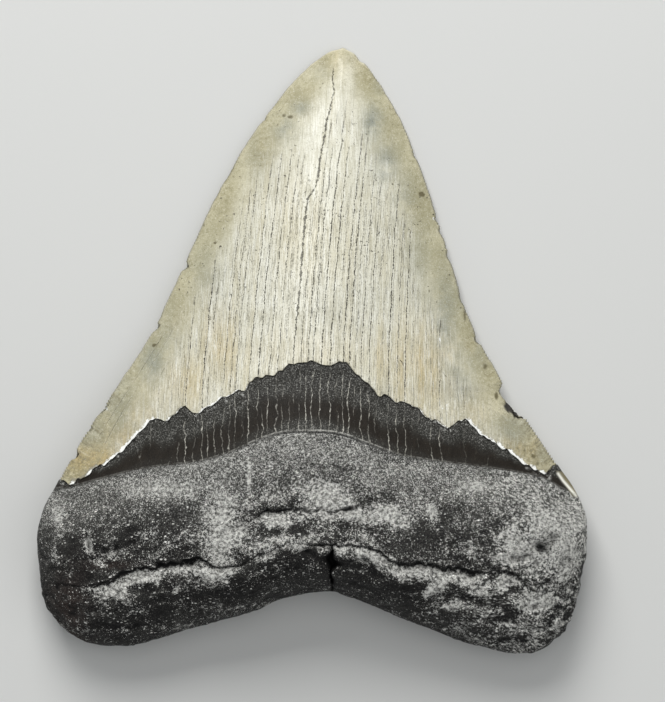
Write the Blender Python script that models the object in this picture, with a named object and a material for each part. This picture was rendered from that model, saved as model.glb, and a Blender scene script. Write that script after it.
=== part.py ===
"""A fossil megalodon tooth, lying on its flat labial face with the swollen lingual face up.

A tooth grows as one piece, so this is one solid: an enamel blade, the collar that shows under the
enamel's broken lower edge, and a two-lobed root with splits across its face.  The form is a loft.
Rings run round the tooth, from the seam under the root up to the tip.  In plan they follow the
tooth's own lines, and they take their height from two surfaces, one for each face of the tooth.

X runs across the tooth, Y from the root to the tip and Z up from the surface it lies on.  The
origin is under the middle of its bounding box.  Sizes below are in millimetres.
"""

import bpy
import numpy as np

MM = 0.001

# Plan of the tooth, from the middle of its bounding box.
TIP = (7.2, 69.3)
LEFT_SIDE = [
    (-57.5, -63.1), (-61.0, -58.0), (-62.2, -51.0), (-62.7, -42.7), (-61.3, -36.6), (-58.6, -31.2),
    (-51.5, -18.5), (-44.2, -7.5), (-37.0, 3.6), (-30.4, 17.4), (-22.8, 33.9), (-14.9, 47.7),
    (-6.7, 58.8), (-1.6, 64.3), (1.8, 67.1), (4.3, 68.6), TIP,
]
RIGHT_SIDE = [
    (57.8, -64.2), (60.5, -57.0), (61.9, -49.5), (62.7, -41.5), (62.0, -36.4), (59.8, -31.6),
    (56.2, -26.4), (52.7, -21.3), (49.2, -16.0), (45.6, -12.6), (44.0, -9.8), (43.7, -7.3),
    (39.1, 0.8), (35.4, 9.1), (32.0, 20.1), (28.5, 31.2), (24.8, 42.2), (20.2, 53.2),
    (15.4, 61.5), (12.6, 65.2), (11.0, 66.3), (9.9, 67.9), TIP,
]
ROOT_EDGE = [
    (-57.5, -63.1), (-53.8, -65.9), (-48.8, -67.5), (-42.3, -67.6), (-35.9, -66.2), (-26.2, -63.5),
    (-14.3, -60.2), (-8.3, -57.5), (-2.6, -55.8), (3.9, -55.0), (8.2, -56.2), (17.5, -60.2),
    (29.4, -64.9), (36.3, -67.4), (43.0, -69.0), (47.8, -69.25), (52.4, -68.2), (57.8, -64.2),
]
# Lines across the lingual face, from left to right: the long split in the root, the neck where the
# root begins, and the enamel's broken lower edge.
SPLIT_LINE = [
    (-62.2, -52.6), (-54.0, -53.6), (-48.8, -53.4), (-42.3, -50.9), (-32.6, -48.9), (-25.2, -48.0),
    (-21.3, -49.3), (-13.1, -47.0), (-5.0, -43.8), (4.4, -43.9), (14.3, -45.8), (19.2, -48.0),
    (25.0, -48.4), (33.8, -49.6), (38.3, -51.2), (45.3, -51.0), (50.9, -54.8), (61.0, -54.5),
]
NECK_LINE = [
    (-59.0, -32.0), (-53.6, -31.0), (-47.0, -29.2), (-38.1, -27.0), (-26.2, -25.4), (-18.6, -23.3),
    (-11.5, -20.1), (-5.1, -18.5), (5.3, -18.7), (12.9, -21.2), (20.7, -24.0), (31.5, -25.7),
    (42.8, -27.3), (52.4, -29.2), (57.0, -31.7), (60.5, -33.1),
]
ENAMEL_LINE = [
    (-57.9, -29.8), (-56.4, -30.9), (-53.9, -29.6), (-50.4, -27.0), (-47.2, -25.4), (-43.9, -22.9),
    (-39.1, -17.6), (-36.5, -15.5), (-33.2, -15.9), (-30.6, -13.2), (-29.4, -12.3), (-27.4, -14.8),
    (-23.0, -12.8), (-19.3, -10.5), (-15.6, -8.9), (-12.6, -6.3), (-8.6, -5.9), (-4.6, -3.3),
    (7.8, -3.1), (10.1, -5.4), (15.2, -10.0), (23.0, -13.2), (28.5, -16.2), (32.2, -17.6),
    (35.4, -15.3), (38.4, -18.2), (44.9, -22.7), (50.3, -26.6), (54.3, -28.0), (56.2, -26.4),
]
# The same three lines on the labial face, where the enamel reaches lower and has no collar.
LABIAL_SPLIT_LINE = [(-62.2, -52.6), (-30.0, -50.5), (3.0, -43.5), (34.0, -51.0), (61.0, -54.5)]
LABIAL_NECK_LINE = [
    (-59.0, -32.0), (-50.0, -34.8), (-34.0, -37.8), (-16.0, -33.0), (3.0, -28.8), (20.0, -33.2),
    (36.0, -38.6), (52.0, -36.0), (60.5, -33.1),
]
LABIAL_ENAMEL_LINE = [
    (-57.9, -29.8), (-50.0, -32.8), (-34.0, -35.8), (-16.0, -31.0), (3.0, -26.8), (20.0, -31.2),
    (36.0, -36.6), (52.0, -33.2), (56.2, -26.4),
]

# Height of the outline above the surface the tooth lies on, as (Y, height).
RIM_HEIGHT = [(-69.3, 8.4), (-55.0, 9.2), (-42.0, 9.4), (-30.0, 7.2), (0.0, 4.1), (35.0, 2.2), (69.3, 1.3)]

# The lingual face.
BLADE_BASE_Y = -4.0
BLADE_RISE = 17.8         # crest above the cutting edges at BLADE_BASE_Y
BLADE_TAPER = 0.8         # power by which the blade thins towards the tip
LOBE_RISE = 12.4          # lobes above the outline
BULGE_RISE = 8.6          # middle of the root above its lobes
BULGE_X, BULGE_WIDTH = 2.0, 23.0
LOBE_ROUNDING = 19.0      # distance from the root's outline over which its face turns up
BULGE_ROUNDING = 13.0
ENAMEL_STEP = 0.6         # thickness of the enamel at its broken edge
STEP_RUN = 0.5            # width over which that step falls
COLLAR_DIP, COLLAR_REACH = 0.9, 6.0
NECK_STEP = 0.5

# Splits across the root: centre line, depth, and reach of the shelf that climbs below the line.
UPPER_SPLIT = [
    (-24.0, -42.0), (-17.0, -40.6), (-11.5, -37.2), (-3.2, -36.2), (0.0, -37.4), (9.1, -36.2), (19.0, -35.0),
]
SIDE_FOLD = [(-61.5, -47.8), (-51.0, -47.0), (-45.0, -44.4), (-35.0, -43.4)]
SPLITS = [(SPLIT_LINE, 1.9, 3.4), (UPPER_SPLIT, 1.4, 3.0), (SIDE_FOLD, 0.8, 2.0)]
SPLIT_WALL = 1.1
SLIT_X, SLIT_TOP, SLIT_DEPTH = 4.5, -43.0, 4.0
CHIP_X, CHIP_Y, CHIP_RADIUS, CHIP_DEPTH = 44.4, -13.0, 2.0, 1.3

# The labial face, which the tooth rests on at three worn spots: place, half width and half length.
LABIAL_LEVEL = 2.2        # height of the hollow middle of the face
LABIAL_ROUNDING = 9.0
REST_DIP = 2.8            # how far the face swells downwards at each spot, before it is worn flat
REST_SPOTS = [(-43.0, -50.0, 14.0, 11.0), (44.0, -51.0, 14.0, 11.0), (8.0, 50.0, 10.0, 15.0)]

# Rings and columns of the loft.  The labial face keeps every second column at its sides and every
# fourth in its middle.
COLUMNS = 72
SIDE_COLUMNS = 12
RINGS = [11, 11, 1, 3, 2, 20]


def smooth_line(points, steps=12):
    """Catmull-Rom curve through the points, as closely spaced places on it."""
    p = np.array(points, float)
    p = np.vstack([2 * p[0] - p[1], p, 2 * p[-1] - p[-2]])
    before, start, stop, after = (p[i:len(p) - 3 + i, None] for i in range(4))
    t = np.linspace(0, 1, steps, endpoint=False)[None, :, None]
    bend = 2 * before - 5 * start + 4 * stop - after
    twist = 3 * (start - stop) + after - before
    curve = start + 0.5 * t * (stop - before + t * (bend + t * twist))
    return np.vstack([curve.reshape(-1, 2), p[-2]])


def y_on(line, x):
    """Y of a line that runs from left to right, at each x."""
    return np.interp(x, line[:, 0], line[:, 1])


def raised(line, by):
    """A line moved up or down the tooth."""
    return line + np.array([0.0, by])


def spaced(count, *crowds):
    """Shares from 0 to 1 in count steps, closer together at each crowd: (place, width, strength)."""
    fine = np.linspace(0, 1, 2001)
    density = np.ones_like(fine)
    for place, width, strength in crowds:
        density += strength * bell(fine - place, width)
    total = np.append(0, np.cumsum((density[1:] + density[:-1]) / 2))
    return np.interp(np.linspace(0, total[-1], count + 1), total, fine)


def bell(x, width):
    """A smooth bump of height 1, which falls to 0.6 at one width."""
    return np.exp(-0.5 * (x / width) ** 2)


def ease(x):
    """0 below 0, 1 above 1 and a smooth S between them."""
    t = np.clip(x, 0, 1)
    return t * t * (3 - 2 * t)


def quarter_round(x):
    """Rises from 0 with a quarter of a circle, and stays at 1 from x = 1."""
    return np.sqrt(1 - (1 - np.clip(x, 0, 1)) ** 2)


def distance_to(path, x, y):
    """Distance from each place to the nearest stretch of a path."""
    best = np.full(x.shape, np.inf)
    for (start_x, start_y), (dx, dy) in zip(path[:-1], np.diff(path, axis=0)):
        along = ((x - start_x) * dx + (y - start_y) * dy) / (dx * dx + dy * dy)
        along = np.clip(along, 0, 1)
        best = np.minimum(best, np.hypot(x - start_x - along * dx, y - start_y - along * dy))
    return best


left_side, right_side, root_edge = (smooth_line(p) for p in (LEFT_SIDE, RIGHT_SIDE, ROOT_EDGE))
outline = np.vstack([left_side[::-1], root_edge[1:], right_side[1:]])
split, neck, enamel = smooth_line(SPLIT_LINE), smooth_line(NECK_LINE), np.array(ENAMEL_LINE)
labial_split, labial_neck, labial_enamel = (
    smooth_line(p) for p in (LABIAL_SPLIT_LINE, LABIAL_NECK_LINE, LABIAL_ENAMEL_LINE)
)
rim = smooth_line(RIM_HEIGHT)


def rim_height(y):
    """Height of the outline at each y."""
    return np.interp(y, rim[:, 0], rim[:, 1])


def across(x, y):
    """Where a place lies between the two sides: -1 on the left one and 1 on the right one."""
    left, right = (np.interp(y, side[:, 1], side[:, 0]) for side in (left_side, right_side))
    return np.clip((2 * x - left - right) / np.maximum(right - left, 0.1), -1, 1)


def split_relief(x, y, to_edge):
    """Depth of the splits: a steep wall above each line, and a shelf that climbs to a lip below it."""
    z = np.zeros_like(x)
    for points, depth, reach in SPLITS:
        line = smooth_line(points)
        above = y - y_on(line, x)
        fade = ease((x - line[0, 0]) / 8) * ease((line[-1, 0] - x) / 8) * ease(to_edge / 5)
        cut = 1 - ease(np.where(above > 0, above / SPLIT_WALL, -above / reach))
        lip = 0.35 * bell(above + 1.3 * reach, 0.7 * reach)
        z += depth * fade * (lip - cut)
    slit_width = 0.45 + 0.75 * bell(y - SLIT_TOP + 3.6, 2.2)
    slit = bell(x - SLIT_X, slit_width) * ease((SLIT_TOP - y) / 2) * ease(to_edge / 2)
    return z - SLIT_DEPTH * slit


def lingual_height(x, y):
    """The swollen face: a blade with a lens-shaped section, which grows into the bulging root."""
    to_edge = distance_to(outline, x, y)
    inward = ease(to_edge / 1.5)
    side = across(x, y)
    lens = 0.62 * (1 - side ** 2) + 0.38 * np.cos(np.pi / 2 * side) ** 2
    blade = BLADE_RISE * (np.clip(TIP[1] - y, 0, None) / (TIP[1] - BLADE_BASE_Y)) ** BLADE_TAPER * lens
    middle = bell(x - BULGE_X, BULGE_WIDTH)
    rounding = LOBE_ROUNDING + (BULGE_ROUNDING - LOBE_ROUNDING) * middle
    root = (LOBE_RISE + BULGE_RISE * middle) * quarter_round(to_edge / rounding)
    above_neck, above_enamel = y - y_on(neck, x), y - y_on(enamel, x)
    on_blade = ease((above_neck + 13) / 15)
    z = rim_height(y) + on_blade * blade + (1 - on_blade) * root
    z -= ENAMEL_STEP * inward * (1 - ease(above_enamel / STEP_RUN + 0.5))
    z -= COLLAR_DIP * inward * ease(above_neck / COLLAR_REACH) * ease(-above_enamel / 4)
    z += NECK_STEP * inward * ease(-above_neck)
    z -= CHIP_DEPTH * inward * bell(np.hypot(x - CHIP_X, y - CHIP_Y), CHIP_RADIUS)
    return z + split_relief(x, y, to_edge)


def labial_height(x, y):
    """The flat face, with a slight hollow in its middle and worn flat at the resting spots."""
    to_edge = distance_to(outline, x, y)
    level = np.full_like(x, LABIAL_LEVEL)
    for spot_x, spot_y, half_width, half_length in REST_SPOTS:
        level -= REST_DIP * bell(x - spot_x, half_width) * bell(y - spot_y, half_length)
    on_blade = ease((y - y_on(labial_neck, x) + 2) / 4)
    cover = on_blade * (1 - np.abs(across(x, y)) ** 2.8)
    cover += (1 - on_blade) * quarter_round(to_edge / LABIAL_ROUNDING)
    above_enamel = y - y_on(labial_enamel, x)
    step = ENAMEL_STEP * ease(to_edge / 3) * (1 - ease(above_enamel / STEP_RUN + 0.5))
    top = rim_height(y)
    return np.maximum(top - (top - level) * cover + step * bell(above_enamel, 5), 0)


def side_places(side, low, high, shares):
    """Places on one side of the outline, at shares of its length between two heights."""
    inner = side[(side[:, 1] > low) & (side[:, 1] < high)]
    ends = [(np.interp(y, side[:, 1], side[:, 0]), y) for y in (low, high)]
    path = np.vstack([ends[:1], inner, ends[1:]])
    run = np.append(0, np.cumsum(np.hypot(*np.diff(path, axis=0).T)))
    return np.stack([np.interp(shares * run[-1], run, path[:, i]) for i in (0, 1)], axis=-1)


def band(lower, upper, shares, columns):
    """Plan of the rings between two lines.

    Each ring runs straight from the left side to the right side, and then takes on the bow of the
    two lines: how far each stands off the straight line between its own ends.
    """
    left = side_places(left_side, lower[0, 1], upper[0, 1], shares)[:, None, :]
    right = side_places(right_side, lower[-1, 1], upper[-1, 1], shares)[:, None, :]
    plan = left + (right - left) * columns[None, :, None]
    bows = [
        y_on(line, line[0, 0] + (line[-1, 0] - line[0, 0]) * columns)
        - (line[0, 1] + (line[-1, 1] - line[0, 1]) * columns)
        for line in (lower, upper)
    ]
    plan[..., 1] += bows[0] + (bows[1] - bows[0]) * shares[:, None]
    return plan


def face_plan(lines, columns):
    """Plan of all rings on one face, from the root's edge to the last one below the tip."""
    crowds = [
        [(0, 0.10, 9), (1, 0.06, 1)], [(0, 0.06, 2), (1, 0.05, 1)], [], [], [(1, 0.2, 1)],
        [(0.04, 0.06, 1), (1, 0.05, 4)],
    ]
    parts = []
    for lower, upper, count, crowd in zip(lines, lines[1:], RINGS, crowds):
        parts.append(band(lower, upper, spaced(count, *crowd)[:-1], columns))
    return np.vstack(parts)


def tooth_mesh():
    """Vertices and faces of the loft: two faces that share the outline, closed at the tip."""
    half_step = STEP_RUN / 2
    tip = np.array([TIP, TIP])
    columns = spaced(COLUMNS, (0, 0.012, 5), (1, 0.012, 5))
    front_lines = [root_edge, split, raised(neck, -1), neck, raised(enamel, -half_step),
                   raised(enamel, half_step), tip]
    back_lines = [root_edge, labial_split, raised(labial_neck, -1), labial_neck,
                  raised(labial_enamel, -half_step), raised(labial_enamel, half_step), tip]
    for lines in (front_lines, back_lines):
        for line, front in zip(lines, front_lines):
            line[[0, -1], 1] = front[[0, -1], 1]
    front = face_plan(front_lines, columns)
    sides, middle = np.arange(0, SIDE_COLUMNS, 2), np.arange(SIDE_COLUMNS, COLUMNS - SIDE_COLUMNS, 4)
    kept = np.concatenate([sides, middle, COLUMNS - SIDE_COLUMNS + sides, [COLUMNS]])
    back = face_plan(back_lines, columns[kept])[1:, 1:-1]

    rings = len(front)
    front_z = lingual_height(front[..., 0], front[..., 1])
    back_z = labial_height(back[..., 0], back[..., 1])
    front_at = np.arange(front_z.size).reshape(front_z.shape)
    back_at = front_at[:, kept].copy()
    back_at[1:, 1:-1] = front_z.size + np.arange(back_z.size).reshape(back_z.shape)
    tip_at = front_z.size + back_z.size
    places = np.vstack([
        np.dstack([front, front_z]).reshape(-1, 3), np.dstack([back, back_z]).reshape(-1, 3),
        [(*TIP, rim_height(TIP[1]))],
    ])

    quads = np.stack([front_at[:-1, :-1], front_at[:-1, 1:], front_at[1:, 1:], front_at[1:, :-1]], axis=-1)
    faces = quads.reshape(-1, 4).tolist()
    faces += [(*pair, tip_at) for pair in zip(front_at[-1, :-1], front_at[-1, 1:])]
    for j, (start, stop) in enumerate(zip(kept[:-1], kept[1:])):
        seam = front_at[0, start:stop + 1].tolist()
        faces.append([back_at[1, j], back_at[1, j + 1], *seam[::-1]])
    quads = np.stack([back_at[1:-1, 1:], back_at[1:-1, :-1], back_at[2:, :-1], back_at[2:, 1:]], axis=-1)
    faces += quads.reshape(-1, 4).tolist()
    faces += [(*pair, tip_at) for pair in zip(back_at[-1, 1:], back_at[-1, :-1])]
    print(rings, "rings,", sum(len(f) - 2 for f in faces), "triangles")
    return places * MM, faces


def fossil_material():
    """Dark, slightly satin fossil dentine."""
    material = bpy.data.materials.new("fossil tooth")
    material.use_nodes = True
    shader = material.node_tree.nodes["Principled BSDF"]
    shader.inputs["Base Color"].default_value = (0.16, 0.15, 0.13, 1)
    shader.inputs["Roughness"].default_value = 0.55
    shader.inputs["Metallic"].default_value = 0.0
    return material


for old in list(bpy.data.objects):
    bpy.data.objects.remove(old)

places, faces = tooth_mesh()
mesh = bpy.data.meshes.new("tooth")
mesh.from_pydata(places, [], faces)
mesh.shade_smooth()
mesh.set_sharp_from_angle(angle=np.radians(50))
mesh.materials.append(fossil_material())
collection = bpy.data.collections.new("megalodon tooth")
bpy.context.scene.collection.children.link(collection)
collection.objects.link(bpy.data.objects.new("tooth", mesh))
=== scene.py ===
"""A fossil megalodon tooth: pale cracked enamel on a black root, seen from straight above.

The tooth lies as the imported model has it, on its flat labial face with the swollen lingual face up
and its tip towards +Y.  It is dressed in two skins over that one solid, the root with its collar
and the enamel cap.  Sizes are in millimetres until a mesh is made.
"""

import bpy
import numpy as np
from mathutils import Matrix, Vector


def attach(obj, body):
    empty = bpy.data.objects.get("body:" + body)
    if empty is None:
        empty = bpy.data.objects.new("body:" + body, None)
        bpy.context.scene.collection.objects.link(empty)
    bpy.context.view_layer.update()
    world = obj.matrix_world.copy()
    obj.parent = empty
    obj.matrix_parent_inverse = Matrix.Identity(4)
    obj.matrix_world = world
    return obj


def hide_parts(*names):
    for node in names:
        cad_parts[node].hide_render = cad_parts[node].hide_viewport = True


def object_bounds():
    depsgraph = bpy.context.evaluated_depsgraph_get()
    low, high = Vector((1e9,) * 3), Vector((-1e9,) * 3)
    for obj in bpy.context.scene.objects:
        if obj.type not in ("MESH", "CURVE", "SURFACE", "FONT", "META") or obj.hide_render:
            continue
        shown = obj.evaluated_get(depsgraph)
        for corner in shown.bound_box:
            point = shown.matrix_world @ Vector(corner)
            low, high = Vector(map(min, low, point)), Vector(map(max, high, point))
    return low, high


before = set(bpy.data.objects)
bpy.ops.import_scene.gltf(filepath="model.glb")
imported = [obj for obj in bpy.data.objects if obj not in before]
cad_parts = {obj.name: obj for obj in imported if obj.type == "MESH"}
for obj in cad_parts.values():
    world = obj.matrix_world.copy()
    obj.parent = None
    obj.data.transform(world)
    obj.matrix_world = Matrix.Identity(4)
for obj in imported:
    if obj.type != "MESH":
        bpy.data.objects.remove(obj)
cad_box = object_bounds()

# Root and collar.
# The real root is porous dentine, turned black by minerals, with pale grit caught in its pores.  It
# grew with the crown as one piece.  Between its growth layers it has split across the face, and the
# collar is the smoother band that the broken enamel once covered.

MM = 0.001
box = np.array(cad_box) / MM
TIP = (7.2, 69.3)
LEFT_SIDE = [
    (-57.5, -63.1), (-61.0, -58.0), (-62.2, -51.0), (-62.7, -42.7), (-61.3, -36.6), (-58.6, -31.2),
    (-51.5, -18.5), (-44.2, -7.5), (-37.0, 3.6), (-30.4, 17.4), (-22.8, 33.9), (-14.9, 47.7),
    (-6.7, 58.8), (-1.6, 64.3), (1.8, 67.1), (4.3, 68.6), TIP,
]
RIGHT_SIDE = [
    (57.8, -64.2), (60.5, -57.0), (61.9, -49.5), (62.7, -41.5), (62.0, -36.4), (59.8, -31.6),
    (56.2, -26.4), (52.7, -21.3), (49.2, -16.0), (45.6, -12.6), (44.0, -9.8), (43.7, -7.3),
    (39.1, 0.8), (35.4, 9.1), (32.0, 20.1), (28.5, 31.2), (24.8, 42.2), (20.2, 53.2),
    (15.4, 61.5), (12.6, 65.2), (11.0, 66.3), (9.9, 67.9), TIP,
]
ROOT_EDGE = [
    (-57.5, -63.1), (-53.8, -65.9), (-48.8, -67.5), (-42.3, -67.6), (-35.9, -66.2), (-26.2, -63.5),
    (-14.3, -60.2), (-8.3, -57.5), (-2.6, -55.8), (3.9, -55.0), (8.2, -56.2), (17.5, -60.2),
    (29.4, -64.9), (36.3, -67.4), (43.0, -69.0), (47.8, -69.25), (52.4, -68.2), (57.8, -64.2),
]
SPLIT_LINE = [
    (-62.2, -52.6), (-54.0, -53.6), (-48.8, -53.4), (-42.3, -50.9), (-32.6, -48.9), (-25.2, -48.0),
    (-21.3, -49.3), (-13.1, -47.0), (-5.0, -43.8), (4.4, -43.9), (14.3, -45.8), (19.2, -48.0),
    (25.0, -48.4), (33.8, -49.6), (38.3, -51.2), (45.3, -51.0), (50.9, -54.8), (61.0, -54.5),
]
NECK_LINE = [
    (-59.0, -32.0), (-53.6, -31.0), (-47.0, -29.2), (-38.1, -27.0), (-26.2, -25.4), (-18.6, -23.3),
    (-11.5, -20.1), (-5.1, -18.5), (5.3, -18.7), (12.9, -21.2), (20.7, -24.0), (31.5, -25.7),
    (42.8, -27.3), (52.4, -29.2), (57.0, -31.7), (60.5, -33.1),
]
ENAMEL_LINE = [
    (-57.9, -29.8), (-56.4, -30.9), (-53.9, -29.6), (-50.4, -27.0), (-47.2, -25.4), (-43.9, -22.9),
    (-39.1, -17.6), (-36.5, -15.5), (-33.2, -15.9), (-30.6, -13.2), (-29.4, -12.3), (-27.4, -14.8),
    (-23.0, -12.8), (-19.3, -10.5), (-15.6, -8.9), (-12.6, -6.3), (-8.6, -5.9), (-4.6, -3.3),
    (7.8, -3.1), (10.1, -5.4), (15.2, -10.0), (23.0, -13.2), (28.5, -16.2), (32.2, -17.6),
    (35.4, -15.3), (38.4, -18.2), (44.9, -22.7), (50.3, -26.6), (54.3, -28.0), (56.2, -26.4),
]
LABIAL_SPLIT_LINE = [(-62.2, -52.6), (-30.0, -50.5), (3.0, -43.5), (34.0, -51.0), (61.0, -54.5)]
LABIAL_NECK_LINE = [
    (-59.0, -32.0), (-50.0, -34.8), (-34.0, -37.8), (-16.0, -33.0), (3.0, -28.8), (20.0, -33.2),
    (36.0, -38.6), (52.0, -36.0), (60.5, -33.1),
]
LABIAL_ENAMEL_LINE = [
    (-57.9, -29.8), (-50.0, -32.8), (-34.0, -35.8), (-16.0, -31.0), (3.0, -26.8), (20.0, -31.2),
    (36.0, -36.6), (52.0, -33.2), (56.2, -26.4),
]
RIM_HEIGHT = [(-69.3, 8.4), (-55.0, 9.2), (-42.0, 9.4), (-30.0, 7.2), (0.0, 4.1), (35.0, 2.2), (69.3, 1.3)]
BLADE_BASE_Y, BLADE_RISE, BLADE_TAPER = -4.0, 17.8, 0.8
LOBE_RISE, LOBE_ROUNDING = 12.4, 19.0
BULGE_RISE, BULGE_ROUNDING, BULGE_X, BULGE_WIDTH = 8.6, 13.0, 2.0, 23.0
ENAMEL_STEP = 0.6
COLLAR_DIP, COLLAR_REACH, NECK_STEP = 0.9, 6.0, 0.5
UPPER_SPLIT = [
    (-24.0, -42.0), (-21.0, -41.5), (-16.3, -40.1), (-15.0, -38.5), (-12.2, -37.4), (-9.9, -36.7),
    (-6.2, -36.5), (-2.2, -36.6), (0.0, -36.7), (2.0, -36.0), (4.4, -36.8), (7.1, -36.5), (9.9, -36.2),
    (15.0, -35.3), (22.0, -34.0),
]
SIDE_FOLD = [
    (-61.4, -48.0), (-55.2, -46.5), (-50.6, -47.5), (-47.0, -46.8), (-44.0, -44.6), (-40.0, -43.8), (-35.0, -43.0),
]
SPLITS = [    # a line, and along it: x, depth, how thick the pale grit and painted light lie on its shelf, shelf width
    (SPLIT_LINE, [
        (-62.0, 0.1, 0.0, 1.5), (-55.0, 0.3, 0.1, 2.0), (-50.0, 0.3, 0.4, 3.0), (-46.0, 0.5, 0.9, 4.0),
        (-41.0, 0.7, 1.0, 4.0), (-36.0, 1.1, 1.0, 3.6), (-30.0, 2.0, 0.9, 3.2), (-25.5, 1.5, 0.9, 2.6),
        (-21.0, 0.5, 0.8, 2.0), (-13.0, 0.8, 0.4, 1.2), (-9.0, 0.2, 0.6, 0.8), (-3.0, 0.2, 0.6, 0.8),
        (0.0, 1.4, 0.1, 0.8), (4.5, 0.8, 0.4, 1.2), (8.0, 0.3, 0.8, 1.8), (14.5, 0.5, 0.8, 2.4),
        (20.0, 0.7, 1.0, 3.0), (26.0, 1.2, 1.0, 3.0), (31.0, 0.9, 1.0, 3.0), (36.5, 1.2, 1.0, 2.6),
        (42.5, 0.7, 0.9, 1.8), (49.0, 0.6, 0.7, 1.2), (53.0, 0.3, 0.5, 1.0), (57.0, 0.0, 0.0, 0.8),
    ]),
    (UPPER_SPLIT, [
        (-24.0, 0.0, 0.0, 1.5), (-21.0, 0.1, 0.6, 1.5), (-16.5, 0.5, 0.7, 1.8), (-12.0, 1.2, 1.0, 2.2),
        (-8.0, 1.5, 1.0, 2.2), (-5.0, 0.9, 1.0, 2.0), (-2.0, 0.7, 0.9, 1.7), (0.0, 0.4, 0.8, 1.3),
        (4.0, 0.6, 0.9, 1.5), (7.0, 1.3, 0.8, 1.5), (10.0, 0.5, 0.8, 1.4), (15.0, 0.2, 0.75, 1.3),
        (19.0, 0.0, 0.5, 1.2), (22.0, 0.0, 0.0, 1.0),
    ]),
    (SIDE_FOLD, [
        (-61.0, 0.0, 0.0, 1.0), (-58.0, 0.6, 0.1, 1.2), (-53.5, 0.2, 0.2, 1.5), (-50.5, 0.7, 0.3, 1.5),
        (-48.0, 0.3, 0.3, 1.5), (-45.0, 0.9, 0.4, 1.5), (-41.0, 0.3, 0.3, 1.2), (-35.0, 0.0, 0.0, 1.0),
    ]),
]
PITS = [    # small hollows: x, y, half width, half length, depth
    (-50.2, -43.0, 0.35, 1.7, 0.8), (-47.2, -45.6, 1.2, 0.6, 0.9), (-43.7, -44.4, 1.1, 0.6, 0.9),
    (-40.2, -43.5, 0.9, 0.4, 0.6), (51.8, -44.6, 1.3, 0.7, 1.1), (54.5, -43.0, 0.8, 0.6, 0.7), (-30.5, -37.5, 1.2, 0.5, 0.5),
    (47.2, -47.3, 1.5, 0.4, 0.6), (-55.5, -38.5, 0.5, 0.9, 0.5), (-1.0, -45.3, 1.0, 0.55, 1.0), (40.5, -57.0, 1.8, 0.4, 0.5),
    (-34.0, -57.0, 1.6, 0.4, 0.5), (22.5, -56.0, 1.6, 0.4, 0.4), (-14.5, -52.5, 2.0, 0.35, 0.4), (50.0, -58.5, 1.2, 0.5, 0.5),
    (-47.5, -57.5, 1.2, 0.5, 0.5), (34.0, -61.5, 1.4, 0.4, 0.4), (57.0, -48.0, 0.5, 1.0, 0.5), (-58.0, -50.0, 1.2, 0.4, 0.5),
]
SPLIT_WANDER = 0.7
SLIT_X, SLIT_TOP, SLIT_DEPTH = 4.4, -43.6, 5.0
LABIAL_LEVEL, LABIAL_ROUNDING, REST_DIP = 2.2, 9.0, 2.8
REST_SPOTS = [(-43.0, -50.0, 14.0, 11.0), (44.0, -51.0, 14.0, 11.0), (8.0, 50.0, 10.0, 15.0)]
HEIGHTS = np.random.default_rng(11).random((64, 64, 64))


def smooth_line(points, steps=12):
    """Catmull-Rom curve through the points, as closely spaced places on it."""
    p = np.array(points, float)
    p = np.vstack([2 * p[0] - p[1], p, 2 * p[-1] - p[-2]])
    before, start, stop, after = (p[i:len(p) - 3 + i, None] for i in range(4))
    t = np.linspace(0, 1, steps, endpoint=False)[None, :, None]
    bend = 2 * before - 5 * start + 4 * stop - after
    twist = 3 * (start - stop) + after - before
    curve = start + 0.5 * t * (stop - before + t * (bend + t * twist))
    return np.vstack([curve.reshape(-1, 2), p[-2]])


def y_on(line, x):
    """Y of a line that runs from left to right, at each x."""
    return np.interp(x, line[:, 0], line[:, 1])


def raised(line, by):
    """A line moved up or down the tooth."""
    return line + np.array([0.0, by])


def bell(x, width):
    """exp(-x^2 / (2 width^2)): a bump of height 1 that falls to 0.6 at one width."""
    return np.exp(-0.5 * (x / width) ** 2)


def ease(x):
    """3 t^2 - 2 t^3 with t = x held between 0 and 1."""
    t = np.clip(x, 0, 1)
    return t * t * (3 - 2 * t)


def quarter_round(x):
    """sqrt(1 - (1 - x)^2): rises from 0 as a quarter of a circle, and stays at 1 from x = 1."""
    return np.sqrt(1 - (1 - np.clip(x, 0, 1)) ** 2)


def noise(x, y, z, size, shift=0.0):
    """Smooth noise from -1 to 1: random heights on a cubic lattice, `size` apart, joined by S-curves."""
    at = np.stack(np.broadcast_arrays(x, y, z)) / size + shift
    cell = np.floor(at).astype(int)
    step = ease(at - cell)
    total = 0
    for i in (0, 1):
        for j in (0, 1):
            for k in (0, 1):
                share = np.abs(1 - i - step[0]) * np.abs(1 - j - step[1]) * np.abs(1 - k - step[2])
                total = total + share * HEIGHTS[(cell[0] + i) & 63, (cell[1] + j) & 63, (cell[2] + k) & 63]
    return 2 * total - 1


def layered(x, y, z, size, octaves, shift=0.0):
    """Sum of noises, each with half the size and 0.55 of the height of the one before."""
    return sum(0.55 ** n * noise(x, y, z, size / 2 ** n, shift + 7.3 * n) for n in range(octaves))


def nearest_on(path, x, y):
    """Distance from each place to the nearest stretch of a path, and how far along the path that is."""
    best, along_path, run = np.full(x.shape, np.inf), np.zeros(x.shape), 0.0
    for (start_x, start_y), (dx, dy) in zip(path[:-1], np.diff(path, axis=0)):
        share = ((x - start_x) * dx + (y - start_y) * dy) / (dx * dx + dy * dy)
        share = np.clip(share, 0, 1)
        square = (x - start_x - share * dx) ** 2 + (y - start_y - share * dy) ** 2
        length = np.hypot(dx, dy)
        along_path = np.where(square < best, run + share * length, along_path)
        best = np.minimum(best, square)
        run += length
    return np.sqrt(best), along_path


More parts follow.
